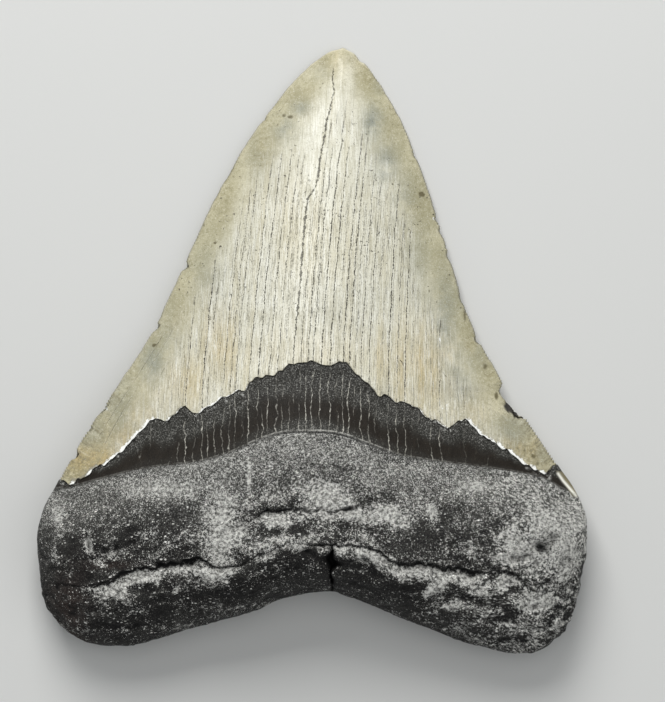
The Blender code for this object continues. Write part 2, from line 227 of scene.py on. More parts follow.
left_side, right_side, root_edge = (smooth_line(p) for p in (LEFT_SIDE, RIGHT_SIDE, ROOT_EDGE))
outline = np.vstack([left_side[::-3], root_edge[1::3], right_side[1::3]])
split, neck = smooth_line(SPLIT_LINE), smooth_line(NECK_LINE)
labial_split, labial_neck, labial_enamel = (
    smooth_line(p) for p in (LABIAL_SPLIT_LINE, LABIAL_NECK_LINE, LABIAL_ENAMEL_LINE)
)
rim = smooth_line(RIM_HEIGHT)


def broken_edge(points, jag, seed):
    """A line through the points with a ragged edge: steps of 0.2 mm, set off by two layered noises."""
    line = np.array(points, float)
    x = np.arange(line[0, 0], line[-1, 0], 0.2)
    off = jag * (0.6 * noise(x, 0, 0, 4.0, seed) + 1.3 * layered(x, 0, 0, 1.3, 3, seed + 5))
    off = off * ease((x - x[0]) / 2) * ease((x[-1] - x) / 2)
    return np.vstack([np.stack([x, y_on(line, x) + off], axis=-1), line[-1:]])


enamel_edge = broken_edge(ENAMEL_LINE, 0.42, 3)
labial_edge = broken_edge(labial_enamel, 0.35, 8)


def rim_height(y):
    """Height of the outline at each y."""
    return np.interp(y, rim[:, 0], rim[:, 1])


def across(x, y):
    """Where a place lies between the two sides: -1 on the left one and 1 on the right one."""
    left, right = (np.interp(y, side[:, 1], side[:, 0]) for side in (left_side, right_side))
    return np.clip((2 * x - left - right) / np.maximum(right - left, 0.1), -1, 1)


def splits(x, y, to_edge):
    """Relief of the splits, the painted shade in their cracks, pits and slit, and how pale their shelves are with dust
    and painted light, from 0 to 1.

    Above its line a split drops off a steep wall, and below it a shelf climbs back to a low lip:
    relief = depth * (0.35 bell(lip) - (1 - ease(v / wall or -v / shelf width))), v up from the line.
    """
    relief, crevice_shade, shelf = np.zeros_like(x), np.zeros_like(x), np.zeros_like(x)
    wander = SPLIT_WANDER * layered(x, y, 0, 5.0, 3, 2) + 0.35 * layered(x, y, 0, 1.1, 2, 6)
    patchy = layered(x, y, 0, 3.0, 3, 8)
    for points, stations in SPLITS:
        at = np.array(stations)
        depth, grit_and_light, width = (np.interp(x, at[:, 0], at[:, n]) for n in (1, 2, 3))
        depth = depth * ease(to_edge / 4) * np.clip(1 + 0.8 * layered(x, y, 0, 5.0, 2, 5), 0.1, 1.5)
        v = y - y_on(smooth_line(points), x) + wander
        wall = 0.25 + 0.3 * depth
        cut = 1 - ease(np.where(v > 0, v / wall, -v / width))
        relief += depth * (0.35 * bell(v + 1.2 * width, 0.6 * width) - cut)
        # Painted shade: the crack under each split's wall is darkened in the colour, as its overhang would shade it.
        crevice_shade = np.maximum(crevice_shade, np.clip(depth, 0, 1) * bell(v - 0.1, 0.12 + 0.16 * depth))
        shelf_grit_and_light = grit_and_light * ease(-v / 0.5) * ease((v + (2.0 + 0.8 * patchy) * width) / (1.6 * width))
        shelf = np.maximum(shelf, shelf_grit_and_light * np.clip(0.85 + 0.5 * patchy, 0, 1))
    for pit_x, pit_y, half_width, half_length, depth in PITS:
        pit = bell(x + wander - pit_x, half_width) * bell(y + wander - pit_y, half_length)
        relief -= depth * pit
        # Painted shade in each pit.
        crevice_shade = np.maximum(crevice_shade, depth * pit)
    slit_width = 0.26 + 0.60 * bell(y - SLIT_TOP + 3.9, 1.5) + 0.12 * noise(0, y, 0, 0.9, 9)
    slit_x = SLIT_X + 0.3 * layered(0, y, 0, 1.8, 2, 4)
    slit = bell(x - slit_x, slit_width) * ease((SLIT_TOP - y) / 1.6) * ease(to_edge / 0.5)
    # Painted shade down the slit.
    crevice_shade = np.maximum(crevice_shade, ease(1.8 * slit))
    return relief - SLIT_DEPTH * slit * ease(to_edge / 2.0 + 0.2), crevice_shade, shelf * (1 - ease(2.0 * slit))


def lingual_height(x, y, enamelled):
    """The swollen face: a blade with a lens-shaped section, which grows into the bulging root.

    z = rim + s (blade lens) + (1 - s) (root rise) (quarter round of the distance to the outline),
    where s eases from 0 to 1 across the neck.  Without its enamel the face lies one step lower.
    """
    to_edge = nearest_on(outline, x, y)[0]
    inward = ease(to_edge / 1.5)
    side = across(x, y)
    lens = 0.62 * (1 - side ** 2) + 0.38 * np.cos(np.pi / 2 * side) ** 2
    blade = BLADE_RISE * (np.clip(TIP[1] - y, 0, None) / (TIP[1] - BLADE_BASE_Y)) ** BLADE_TAPER * lens
    middle = bell(x - BULGE_X, BULGE_WIDTH)
    rounding = LOBE_ROUNDING + (BULGE_ROUNDING - LOBE_ROUNDING) * middle
    root_rise = (LOBE_RISE + BULGE_RISE * middle) * quarter_round(to_edge / rounding)
    above_neck, above_edge = y - y_on(neck, x), y - y_on(enamel_edge, x)
    on_blade = ease((above_neck + 13) / 15)
    z = rim_height(y) + on_blade * blade + (1 - on_blade) * root_rise
    z += NECK_STEP * inward * ease(-above_neck)
    if enamelled:
        return z
    z -= ENAMEL_STEP * inward
    return z - COLLAR_DIP * inward * ease(above_neck / COLLAR_REACH) * ease(-above_edge / 4)


def labial_height(x, y, enamelled):
    """The flat face, with a slight hollow in its middle and worn flat at the resting spots."""
    to_edge = nearest_on(outline, x, y)[0]
    level = np.full_like(x, LABIAL_LEVEL)
    for spot_x, spot_y, half_width, half_length in REST_SPOTS:
        level -= REST_DIP * bell(x - spot_x, half_width) * bell(y - spot_y, half_length)
    on_blade = ease((y - y_on(labial_neck, x) + 2) / 4)
    cover = on_blade * (1 - np.abs(across(x, y)) ** 2.8)
    cover += (1 - on_blade) * quarter_round(to_edge / LABIAL_ROUNDING)
    above_edge = y - y_on(labial_edge, x)
    step = 0 if enamelled else ENAMEL_STEP * ease(to_edge / 3)
    top = rim_height(y)
    return np.maximum(top - (top - level) * cover + step * bell(above_edge, 5), 0)


def side_places(side, low, high, shares):
    """Places on one side of the outline, at shares of its length between two heights."""
    inner = side[(side[:, 1] > low) & (side[:, 1] < high)]
    ends = [(np.interp(y, side[:, 1], side[:, 0]), y) for y in (low, high)]
    path = np.vstack([ends[:1], inner, ends[1:]])
    run = np.append(0, np.cumsum(np.hypot(*np.diff(path, axis=0).T)))
    return np.stack([np.interp(shares * run[-1], run, path[:, i]) for i in (0, 1)], axis=-1)


def spaced(count, *crowds):
    """Shares from 0 to 1 in count steps, closer together at each crowd: (place, width, strength)."""
    fine = np.linspace(0, 1, 4001)
    density = np.ones_like(fine)
    for place, width, strength in crowds:
        density += strength * bell(fine - place, width)
    total = np.append(0, np.cumsum((density[1:] + density[:-1]) / 2))
    return np.interp(np.linspace(0, total[-1], count + 1), total, fine)


def band(lower, upper, shares, columns):
    """Plan of the rings between two lines.

    Each ring runs straight from the left side to the right side, and then takes on the bow of the
    two lines: how far each stands off the straight line between its own ends.
    """
    left = side_places(left_side, lower[0, 1], upper[0, 1], shares)[:, None, :]
    right = side_places(right_side, lower[-1, 1], upper[-1, 1], shares)[:, None, :]
    plan = left + (right - left) * columns[None, :, None]
    bows = [
        y_on(line, line[0, 0] + (line[-1, 0] - line[0, 0]) * columns)
        - (line[0, 1] + (line[-1, 1] - line[0, 1]) * columns)
        for line in (lower, upper)
    ]
    plan[..., 1] += bows[0] + (bows[1] - bows[0]) * shares[:, None]
    return plan


def quads(grid):
    """The four corners of each cell of a grid of vertex numbers, with the first row at the bottom."""
    return np.stack([grid[:-1, :-1], grid[:-1, 1:], grid[1:, 1:], grid[1:, :-1]], axis=-1).reshape(-1, 4)


def make_piece(name, places, faces):
    """A smooth-shaded mesh object from places in millimetres."""
    mesh = bpy.data.meshes.new(name)
    mesh.from_pydata(places * MM, [], faces)
    mesh.shade_smooth()
    piece = bpy.data.objects.new(name, mesh)
    bpy.context.collection.objects.link(piece)
    return piece


def reshape(piece, places):
    """Move the vertices of a piece to new places in millimetres."""
    piece.data.vertices.foreach_set("co", (places * MM).ravel())
    piece.data.update()


def give(piece, values):
    """Set a float attribute on the vertices of a piece for each named array."""
    for name, numbers in values.items():
        piece.data.attributes.new(name, "FLOAT", "POINT").data.foreach_set("value", numbers.astype(np.float32))


def normals_of(piece):
    """Vertex normals of a piece as an array."""
    normals = np.empty(3 * len(piece.data.vertices))
    piece.data.vertex_normals.foreach_get("vector", normals)
    return normals.reshape(-1, 3)


ROOT_COLUMNS, LABIAL_STRIDE = 384, 4
HIDDEN_RISE, HIDDEN_INSET = 1.6, 0.9      # the root's top runs up inside the enamel, out of sight
root_columns = spaced(ROOT_COLUMNS, (0, 0.012, 3), (1, 0.012, 3))
kept = np.arange(0, ROOT_COLUMNS + 1, LABIAL_STRIDE)
root_shares = [spaced(58, (0, 0.08, 6), (1, 0.05, 1)), spaced(76, (0, 0.04, 2)), spaced(40), spaced(4)]


def root_plan(lines, columns):
    """Plan of the root's rings on one face, from its edge to the last one under the enamel."""
    parts = [band(a, b, s[:-1], columns) for a, b, s in zip(lines, lines[1:], root_shares)]
    return np.vstack(parts + [band(lines[-2], lines[-1], np.array([1.0]), columns)])


def root_lines(split_at, neck_at, edge_at):
    """The lines between the bands of the root on one face, sharing their ends with the other face."""
    lines = [root_edge.copy(), split_at.copy(), neck_at.copy(), edge_at.copy(), raised(edge_at, HIDDEN_RISE)]
    for line, front in zip(lines, (root_edge, split, neck, enamel_edge, raised(enamel_edge, HIDDEN_RISE))):
        line[[0, -1], 1] = front[[0, -1], 1]
    return lines


front = root_plan(root_lines(split, neck, enamel_edge), root_columns)
back = root_plan(root_lines(labial_split, labial_neck, labial_edge), root_columns[kept])[:, 1:-1]
hidden = np.repeat([0, 1], [len(front) - len(root_shares[-1]) + 1, len(root_shares[-1]) - 1])[:, None]
relief, crevice_shade, shelf = splits(*np.moveaxis(front, -1, 0), nearest_on(outline, *np.moveaxis(front, -1, 0))[0])
front_z = lingual_height(front[..., 0], front[..., 1], False) + relief
back_z = labial_height(back[..., 0], back[..., 1], False)
centre_x = (front[:, :1, 0] + front[:, -1:, 0]) / 2
half_width = (front[:, -1:, 0] - front[:, :1, 0]) / 2
for plan, height, sign in ((front, front_z, -1), (back, back_z, 1)):
    height += sign * HIDDEN_INSET * hidden * ease(nearest_on(outline, plan[..., 0], plan[..., 1])[0] / 4)
    plan[..., 0] -= hidden * HIDDEN_INSET * (plan[..., 0] - centre_x) / half_width

front_at = np.arange(front_z.size).reshape(front_z.shape)
back_at = front_at[:, kept].copy()
back_at[1:, 1:-1] = front_z.size + np.arange(back_z[1:].size).reshape(back_z[1:].shape)
places = np.vstack([
    np.dstack([front, front_z]).reshape(-1, 3), np.dstack([back, back_z])[1:].reshape(-1, 3),
])
faces = quads(front_at).tolist() + quads(back_at[1:])[:, ::-1].tolist()
for j, (start, stop) in enumerate(zip(kept[:-1], kept[1:])):
    faces.append([back_at[1, j], back_at[1, j + 1], *front_at[0, start:stop + 1][::-1]])
    faces.append([back_at[-1, j + 1], back_at[-1, j], *front_at[-1, start:stop + 1]])
piece = make_piece("root", places, faces)

x, y, z = places.T
on_front = np.arange(len(places)) < front_z.size
to_edge = nearest_on(outline, x, y)[0]
above_neck = np.where(on_front, y - y_on(neck, x), y - y_on(labial_neck, x))
below_enamel = np.where(on_front, y_on(enamel_edge, x) - y, y_on(labial_edge, x) - y)
below_split = y_on(split, x) - y
crevice_shade, shelf = (np.append(v.ravel(), np.zeros(len(places) - v.size)) for v in (crevice_shade, shelf))
low, far = ease((below_split - 0.5) / 3), ease((-above_neck - 3) / 13)
rough = ease(-above_neck / 1.5)
craggy = np.clip(0.5 * low + 0.9 * far * ease((-34 - x) / 9) + 0.9 * far * ease((x - 38) / 8), 0, 1)
lumps = 0.45 * layered(x, y, z, 13.0, 3, 1) + 0.16 * layered(x, y, z, 3.6, 2, 21)
crags = 0.16 - 0.42 * np.abs(layered(x, y * 1.5, z, 3.4, 3, 23))
flow = below_split + 0.8 * layered(x, y, z, 6.0, 2, 33)
layers = 0.30 * low * layered(x * 0.3, flow, z * 0.5, 2.0, 3, 32)
grain = (0.35 + 0.65 * far) * (0.14 * noise(x, y, z, 1.1, 30) + 0.10 * noise(x, y, z, 0.6, 31))
shift = rough * (lumps + craggy * crags + layers + grain - 0.12) * ease(to_edge / 0.8 + 0.5)
# Painted shade: where the relief sinks deepest the colour is darkened, and less grit lies there.
hollow_shade = np.clip(-(craggy * crags + layers + 1.4 * grain) / 0.25 - 0.35, 0, 1) * rough
shift += (1 - rough) * 0.05 * layered(x, y * 0.3, z, 1.6, 2, 40)
shift *= 1 - np.append(np.repeat(hidden[:, 0], ROOT_COLUMNS + 1), np.repeat(hidden[1:, 0], len(kept) - 2))
smooth_normals = normals_of(piece)
places += smooth_normals * shift[:, None]
places = np.clip(places, box[0], box[1])
reshape(piece, places)
# Painted light: relief turned towards the tip faces the key light, and so gets more pale grit and a paler film.
turned_to_light = (normals_of(piece) - smooth_normals)[:, 1]      # how far the relief turns each place to the tip

GRIT_SPOTS = [    # where pale grit lies thicker or thinner: x, y, half width, half length, amount
    (-20.5, -38.0, 2.2, 4.0, 0.40), (-21.0, -44.5, 2.5, 2.0, 0.30), (3.5, -32.5, 3.2, 1.8, 0.50), (6.0, -35.0, 4.0, 1.0, 0.25),
    (-6.0, -33.0, 8.0, 2.5, 0.10), (17.5, -36.8, 3.0, 1.3, 0.45), (45.5, -42.5, 1.4, 2.0, 0.45), (13.0, -38.0, 4.0, 1.0, 0.2),
    (51.5, -40.5, 3.0, 2.6, 0.40), (59.0, -44.5, 2.0, 4.0, 0.25), (46.0, -46.5, 5.0, 1.6, 0.40), (57.0, -47.5, 2.0, 3.0, 0.25),
    (-36.0, -31.5, 5.0, 1.3, 0.26), (-57.5, -39.0, 1.2, 3.0, 0.25), (-50.5, -44.0, 0.8, 2.0, 0.35), (-28.5, -31.0, 2.0, 1.6, 0.2),
    (-45.0, -46.0, 2.5, 1.0, 0.30), (27.0, -36.2, 0.8, 0.8, 0.5), (37.0, -31.0, 1.6, 0.7, 0.40), (-58.5, -46.5, 1.2, 1.5, 0.25),
    (-14.1, -28.2, 0.22, 2.0, 0.9), (50.0, -60.0, 8.0, 6.0, 0.10), (-39.0, -51.0, 0.7, 0.6, 0.9), (38.5, -55.0, 2.0, 0.7, 0.3),
    (-9.0, -40.8, 1.8, 0.9, -0.30), (47.0, -40.0, 1.5, 1.0, -0.25), (-3.0, -40.6, 1.6, 0.8, -0.30), (33.0, -58.0, 3.0, 0.7, 0.3),
    (-30.0, -36.0, 4.0, 3.0, -0.08), (-53.0, -53.0, 5.0, 3.0, -0.06), (-12.0, -42.5, 9.0, 2.0, 0.14), (52.0, -57.5, 2.5, 1.0, 0.3),
    (8.0, -40.5, 7.0, 2.5, 0.10), (-20.0, -62.0, 30.0, 4.0, 0.05), (-5.0, -51.0, 14.0, 2.5, 0.04), (-38.0, -59.0, 3.0, 0.8, 0.2),
    (-55.5, -50.5, 2.0, 1.0, 0.15), (-16.0, -58.5, 5.0, 0.7, 0.15), (14.0, -50.0, 4.0, 0.8, 0.2), (24.0, -55.0, 3.0, 0.8, 0.2),
]
grit_and_light_cover = 0.48 - 0.16 * far - 0.10 * ease((-33 - x) / 10)
grit_and_light_cover += low * (0.22 + 0.12 * ease((x - 14) / 26) - grit_and_light_cover)
for spot_x, spot_y, half_width, half_length, amount in GRIT_SPOTS:
    grit_and_light_cover += amount * bell(x - spot_x, half_width) * bell(y - spot_y, half_length)
# Shelves and relief turned to the tip get more pale grit, partly real grit and partly painted light.
grit_and_light_cover += (0.05 + 0.09 * far) * layered(x, y, z, 3.0, 3, 50) + 0.42 * shelf
grit_and_light_cover += 0.22 * np.clip(turned_to_light, -0.6, 0.6) - 0.12 * hollow_shade
grit_and_light_cover *= np.where(on_front, 1, 0.7)
# A grey film on the black base, thinner far below the neck and below the split, and made paler on shelves and on relief
# turned to the tip as painted light.
film_and_light = (0.80 - 0.60 * far) * (1 - 0.8 * low) + 0.2 * layered(x, y, z, 5.0, 3, 52) + 0.2 * shelf
film_and_light = np.clip(film_and_light + 0.5 * turned_to_light, 0, 1)
coarse = np.clip(0.5 * far + 0.2 * ease((-40 - x) / 8) + 0.8 * ease((x - 38) / 8), 0, 1)
rust = 0.5 * bell(x + 55, 3) * bell(y + 60, 7) + 0.6 * bell(x + 46, 3) * bell(y + 48.6, 0.8)
rust = rust * np.clip(1 + layered(x, y, z, 2.0, 2, 54), 0, 1)
SLIVER = [(56.3, -28.4), (57.5, -30.1), (58.8, -31.6), (60.3, -33.4)]      # a splinter of enamel left behind
sliver_edge, _ = nearest_on(np.array(SLIVER), x, y)
sliver = ease((1.35 - to_edge) / 0.3) * ease((y + 34.0) / 1.0) * ease((-27.6 - y) / 0.6) * ease((x - 50) / 2) * on_front
sliver_edge = bell(sliver_edge, 0.22) * on_front * (x > 50)
in_collar = below_enamel / np.maximum(below_enamel + above_neck, 0.2)      # 0 at the enamel and 1 at the neck
BROKEN_WHITE = [    # how white the broken edge of the enamel shows, along x
    (-58, 0.3), (-52, 0.25), (-46, 0.9), (-36, 1.0), (-31, 0.5), (-27, 0.6), (-25, 0.9), (-21, 0.9),
    (-16, 0.7), (-13, 0.15), (10, 0.1), (16, 0.35), (20, 0.7), (26, 0.5), (33, 0.85), (37, 0.9), (43, 0.8),
    (52, 0.7), (56, 0.9),
]
white_x, white_share = np.array(BROKEN_WHITE).T
crumbs = np.interp(x, white_x, white_share) * bell(below_enamel, 0.8) * on_front

# Cracks run up the whole tooth.  Each is a place across the crown's foot, in millimetres, with how
# strongly it shows.  Above y = -10 they lean to the right and draw together.
CRACKS = [
    (-66.0, 0.0), (-58.0, 0.0), (-51.0, 0.0), (-46.5, 0.0), (-43.0, 0.10), (-39.0, 0.12), (-36.8, 0.20), (-34.3, 0.15), (-32.4, 0.20), (-30.4, 0.25), (-28.7, 0.75),
    (-26.8, 0.35), (-24.9, 0.90), (-23.7, 0.60), (-22.1, 0.25), (-20.2, 0.60), (-18.6, 0.65), (-17.4, 0.65),
    (-15.7, 0.30), (-14.4, 0.75), (-12.2, 0.85), (-11.0, 0.30), (-9.9, 0.75), (-7.9, 0.70), (-6.7, 0.55),
    (-5.3, 0.35), (-4.3, 0.30), (-2.8, 0.55), (-1.2, 0.80), (0.0, 0.80), (1.9, 0.85), (3.9, 0.80),
    (5.6, 0.50), (6.9, 0.85), (8.3, 0.90), (9.6, 0.50), (11.0, 0.70), (12.9, 0.65), (14.5, 0.40),
    (15.9, 0.35), (17.2, 0.80), (19.2, 0.60), (21.1, 0.70), (22.8, 0.35), (24.2, 0.30), (25.6, 0.25),
    (27.0, 0.40), (29.1, 0.65), (31.0, 0.20), (33.0, 0.25), (34.7, 0.45), (37.0, 0.15), (40.0, 0.12),
    (43.5, 0.08), (48.0, 0.05), (53.0, 0.0), (59.0, 0.0), (66.0, 0.0),
]
CRACK_FOOT, CRACK_LEAN, CRACK_BEND, CRACK_DRAW = -10.0, 0.04, 0.0008, 0.0012
crack_feet, crack_strengths = np.array(CRACKS).T


def crack_field(x, y):
    """Number of the nearest crack at each place, the gap between cracks there, and their strength.

    A crack with its foot at f passes through x = f (1 - draw u) + lean u + bend u^2, at the height u
    above the foot of the crown.  The number runs on evenly between one crack and the next.
    """
    up = np.clip(y - CRACK_FOOT, 0, None)
    foot = (x - CRACK_LEAN * up - CRACK_BEND * up ** 2) / (1 - CRACK_DRAW * up)
    number = np.interp(foot, crack_feet, np.arange(len(crack_feet)))
    gap = np.interp(foot, crack_feet, np.gradient(crack_feet))
    return {"crack_at": number, "crack_gap": gap, "crack_strength": np.interp(foot, crack_feet, crack_strengths)}


give(piece, {
    "above_neck": above_neck, "below_enamel": below_enamel, "below_split": below_split * MM, "low": low,
    "crevice_shade": crevice_shade, "hollow_shade": hollow_shade, "in_collar": in_collar, "crumbs": crumbs, "grit_and_light": grit_and_light_cover, "film_and_light": film_and_light, "coarse": coarse, "rust": rust * on_front,
    "sliver": sliver, "sliver_edge": sliver_edge, "neck_shine": on_front * (0.25 + 0.75 * bell(x - 2, 13)), **crack_field(x, y),
})


def add(tree, kind, feeds=(), **settings):
    """A node with its settings, whose inputs are set or linked from feeds: {name or number: value}."""
    node = tree.nodes.new("ShaderNode" + kind)
    for name, value in settings.items():
        setattr(node, name, value)
    for name, value in dict(feeds).items():
        if isinstance(value, bpy.types.NodeSocket):
            tree.links.new(value, node.inputs[name])
        else:
            node.inputs[name].default_value = value
    return node


def sums(tree, operation, *feeds):
    """Value of a Math node."""
    return add(tree, "Math", dict(enumerate(feeds)), operation=operation).outputs[0]


def product(tree, *feeds):
    """All the values multiplied together."""
    total = feeds[0]
    for feed in feeds[1:]:
        total = sums(tree, "MULTIPLY", total, feed)
    return total


def ramp(tree, value, low, high, start=0.0, stop=1.0):
    """A value taken smoothly from start to stop as it goes from low to high."""
    feeds = {"Value": value, "From Min": low, "From Max": high, "To Min": start, "To Max": stop}
    return add(tree, "MapRange", feeds, interpolation_type="SMOOTHSTEP").outputs[0]


def mixed(tree, share, low, high):
    """Value between low and high by share."""
    return add(tree, "Mix", {0: share, 2: low, 3: high}).outputs[0]


def laid(tree, share, under, over):
    """Colour of a coat laid on another by share."""
    return add(tree, "Mix", {0: share, 6: under, 7: over}, data_type="RGBA").outputs[2]


def scaled(tree, places, x, y, z):
    """Places stretched or squeezed along each axis."""
    return add(tree, "Mapping", {"Vector": places, "Scale": (x, y, z)}).outputs[0]


def cloud(tree, places, scale, detail=2.0, roughness=0.6):
    """Noise texture value around 0.5, with scale in features per metre."""
    feeds = {"Vector": places, "Scale": scale, "Detail": detail, "Roughness": roughness}
    return add(tree, "TexNoise", feeds).outputs[0]


def chance(tree, number):
    """A random value from 0 to 1 for each number."""
    return add(tree, "TexWhiteNoise", {"W": number}, noise_dimensions="1D").outputs[0]


def named(tree, name):
    """Value of a float attribute."""
    return add(tree, "Attribute", attribute_name=name).outputs["Fac"]


def sparkle(tree, places, scale, share):
    """Round grains, one in each cell of a Voronoi pattern, present in a share of the cells.

    Gives how much grain there is at a place, and a random value for each cell.
    """
    cell = add(tree, "TexVoronoi", {"Vector": places, "Scale": scale}).outputs
    luck = add(tree, "SeparateColor", {0: cell["Color"]}).outputs
    size = sums(tree, "MULTIPLY_ADD", luck[1], 0.24, 0.22)
    grain = ramp(tree, cell["Distance"], size, sums(tree, "MULTIPLY", size, 0.6))
    return product(tree, grain, sums(tree, "LESS_THAN", luck[0], share)), luck[2]


def rgb(red, green, blue):
    """Colour in sRGB from 0 to 255 as the linear colour that shaders take."""
    c = np.array([red, green, blue]) / 255
    return (*np.where(c <= 0.04045, c / 12.92, ((c + 0.055) / 1.055) ** 2.4), 1.0)


def crack_lines():
    """Node group: a wandering, beaded line at each whole number of `Number`, present by `Strength`.

    `Gap` is the distance in millimetres between two numbers, and `Width` and `Wander` are also in
    millimetres.  `Strip` is a random value for each strip between two lines.
    """
    group = bpy.data.node_groups.new("crack lines", "ShaderNodeTree")
    for name in ("Number", "Gap", "Width", "Wander", "Strength"):
        group.interface.new_socket(name, in_out="INPUT", socket_type="NodeSocketFloat")
    for name in ("Line", "Strip"):
        group.interface.new_socket(name, in_out="OUTPUT", socket_type="NodeSocketFloat")
    given, result = group.nodes.new("NodeGroupInput").outputs, group.nodes.new("NodeGroupOutput").inputs
    place = add(group, "TexCoord").outputs["Object"]
    slow = sums(group, "SUBTRACT", cloud(group, place, 140, 3, 0.6), 0.5)
    quick = sums(group, "SUBTRACT", cloud(group, place, 1500, 2, 0.7), 0.5)
    wander = sums(group, "MULTIPLY_ADD", slow, given["Wander"], sums(group, "MULTIPLY", quick, 0.28))
    at = sums(group, "ADD", given["Number"], sums(group, "DIVIDE", wander, given["Gap"]))
    number = sums(group, "ROUND", at)
    luck = chance(group, number)
    along = scaled(group, place, 0.6, 0.35, 0.35)
    shifted = add(group, "CombineXYZ", {"Z": luck}).outputs[0]
    along = add(group, "VectorMath", {0: along, 1: shifted}, operation="ADD").outputs[0]
    course = cloud(group, along, 420, 4, 0.7)
    own = sums(group, "SUBTRACT", cloud(group, along, 900, 3, 0.6), 0.5)
    off = product(group, sums(group, "SUBTRACT", at, number), given["Gap"])
    off = sums(group, "ABSOLUTE", sums(group, "MULTIPLY_ADD", own, product(group, given["Wander"], 0.8), off))
    width = product(group, given["Width"], sums(group, "MULTIPLY_ADD", course, 2.4, -0.2))
    line = ramp(group, off, product(group, width, 0.3), width, 1.0, 0.0)
    bead = ramp(group, cloud(group, place, 2100, 1, 0.5), 0.36, 0.58, 0.25, 1.0)
    reach = sums(group, "MULTIPLY_ADD", given["Strength"], 0.55, course)
    present = product(group, ramp(group, reach, 0.64, 0.92), sums(group, "MULTIPLY_ADD", given["Strength"], 0.8, 0.38))
    group.links.new(product(group, line, bead, present), result["Line"])
    group.links.new(chance(group, sums(group, "ADD", sums(group, "FLOOR", at), 0.5)), result["Strip"])
    return group


crack_group = crack_lines()


def cracked(tree, number, gap, width, wander, strength):
    """Outputs of the crack lines group."""
    node = add(tree, "Group", node_tree=crack_group)
    for name, value in zip(("Number", "Gap", "Width", "Wander", "Strength"), (number, gap, width, wander, strength)):
        if isinstance(value, bpy.types.NodeSocket):
            tree.links.new(value, node.inputs[name])
        else:
            node.inputs[name].default_value = value
    return node.outputs


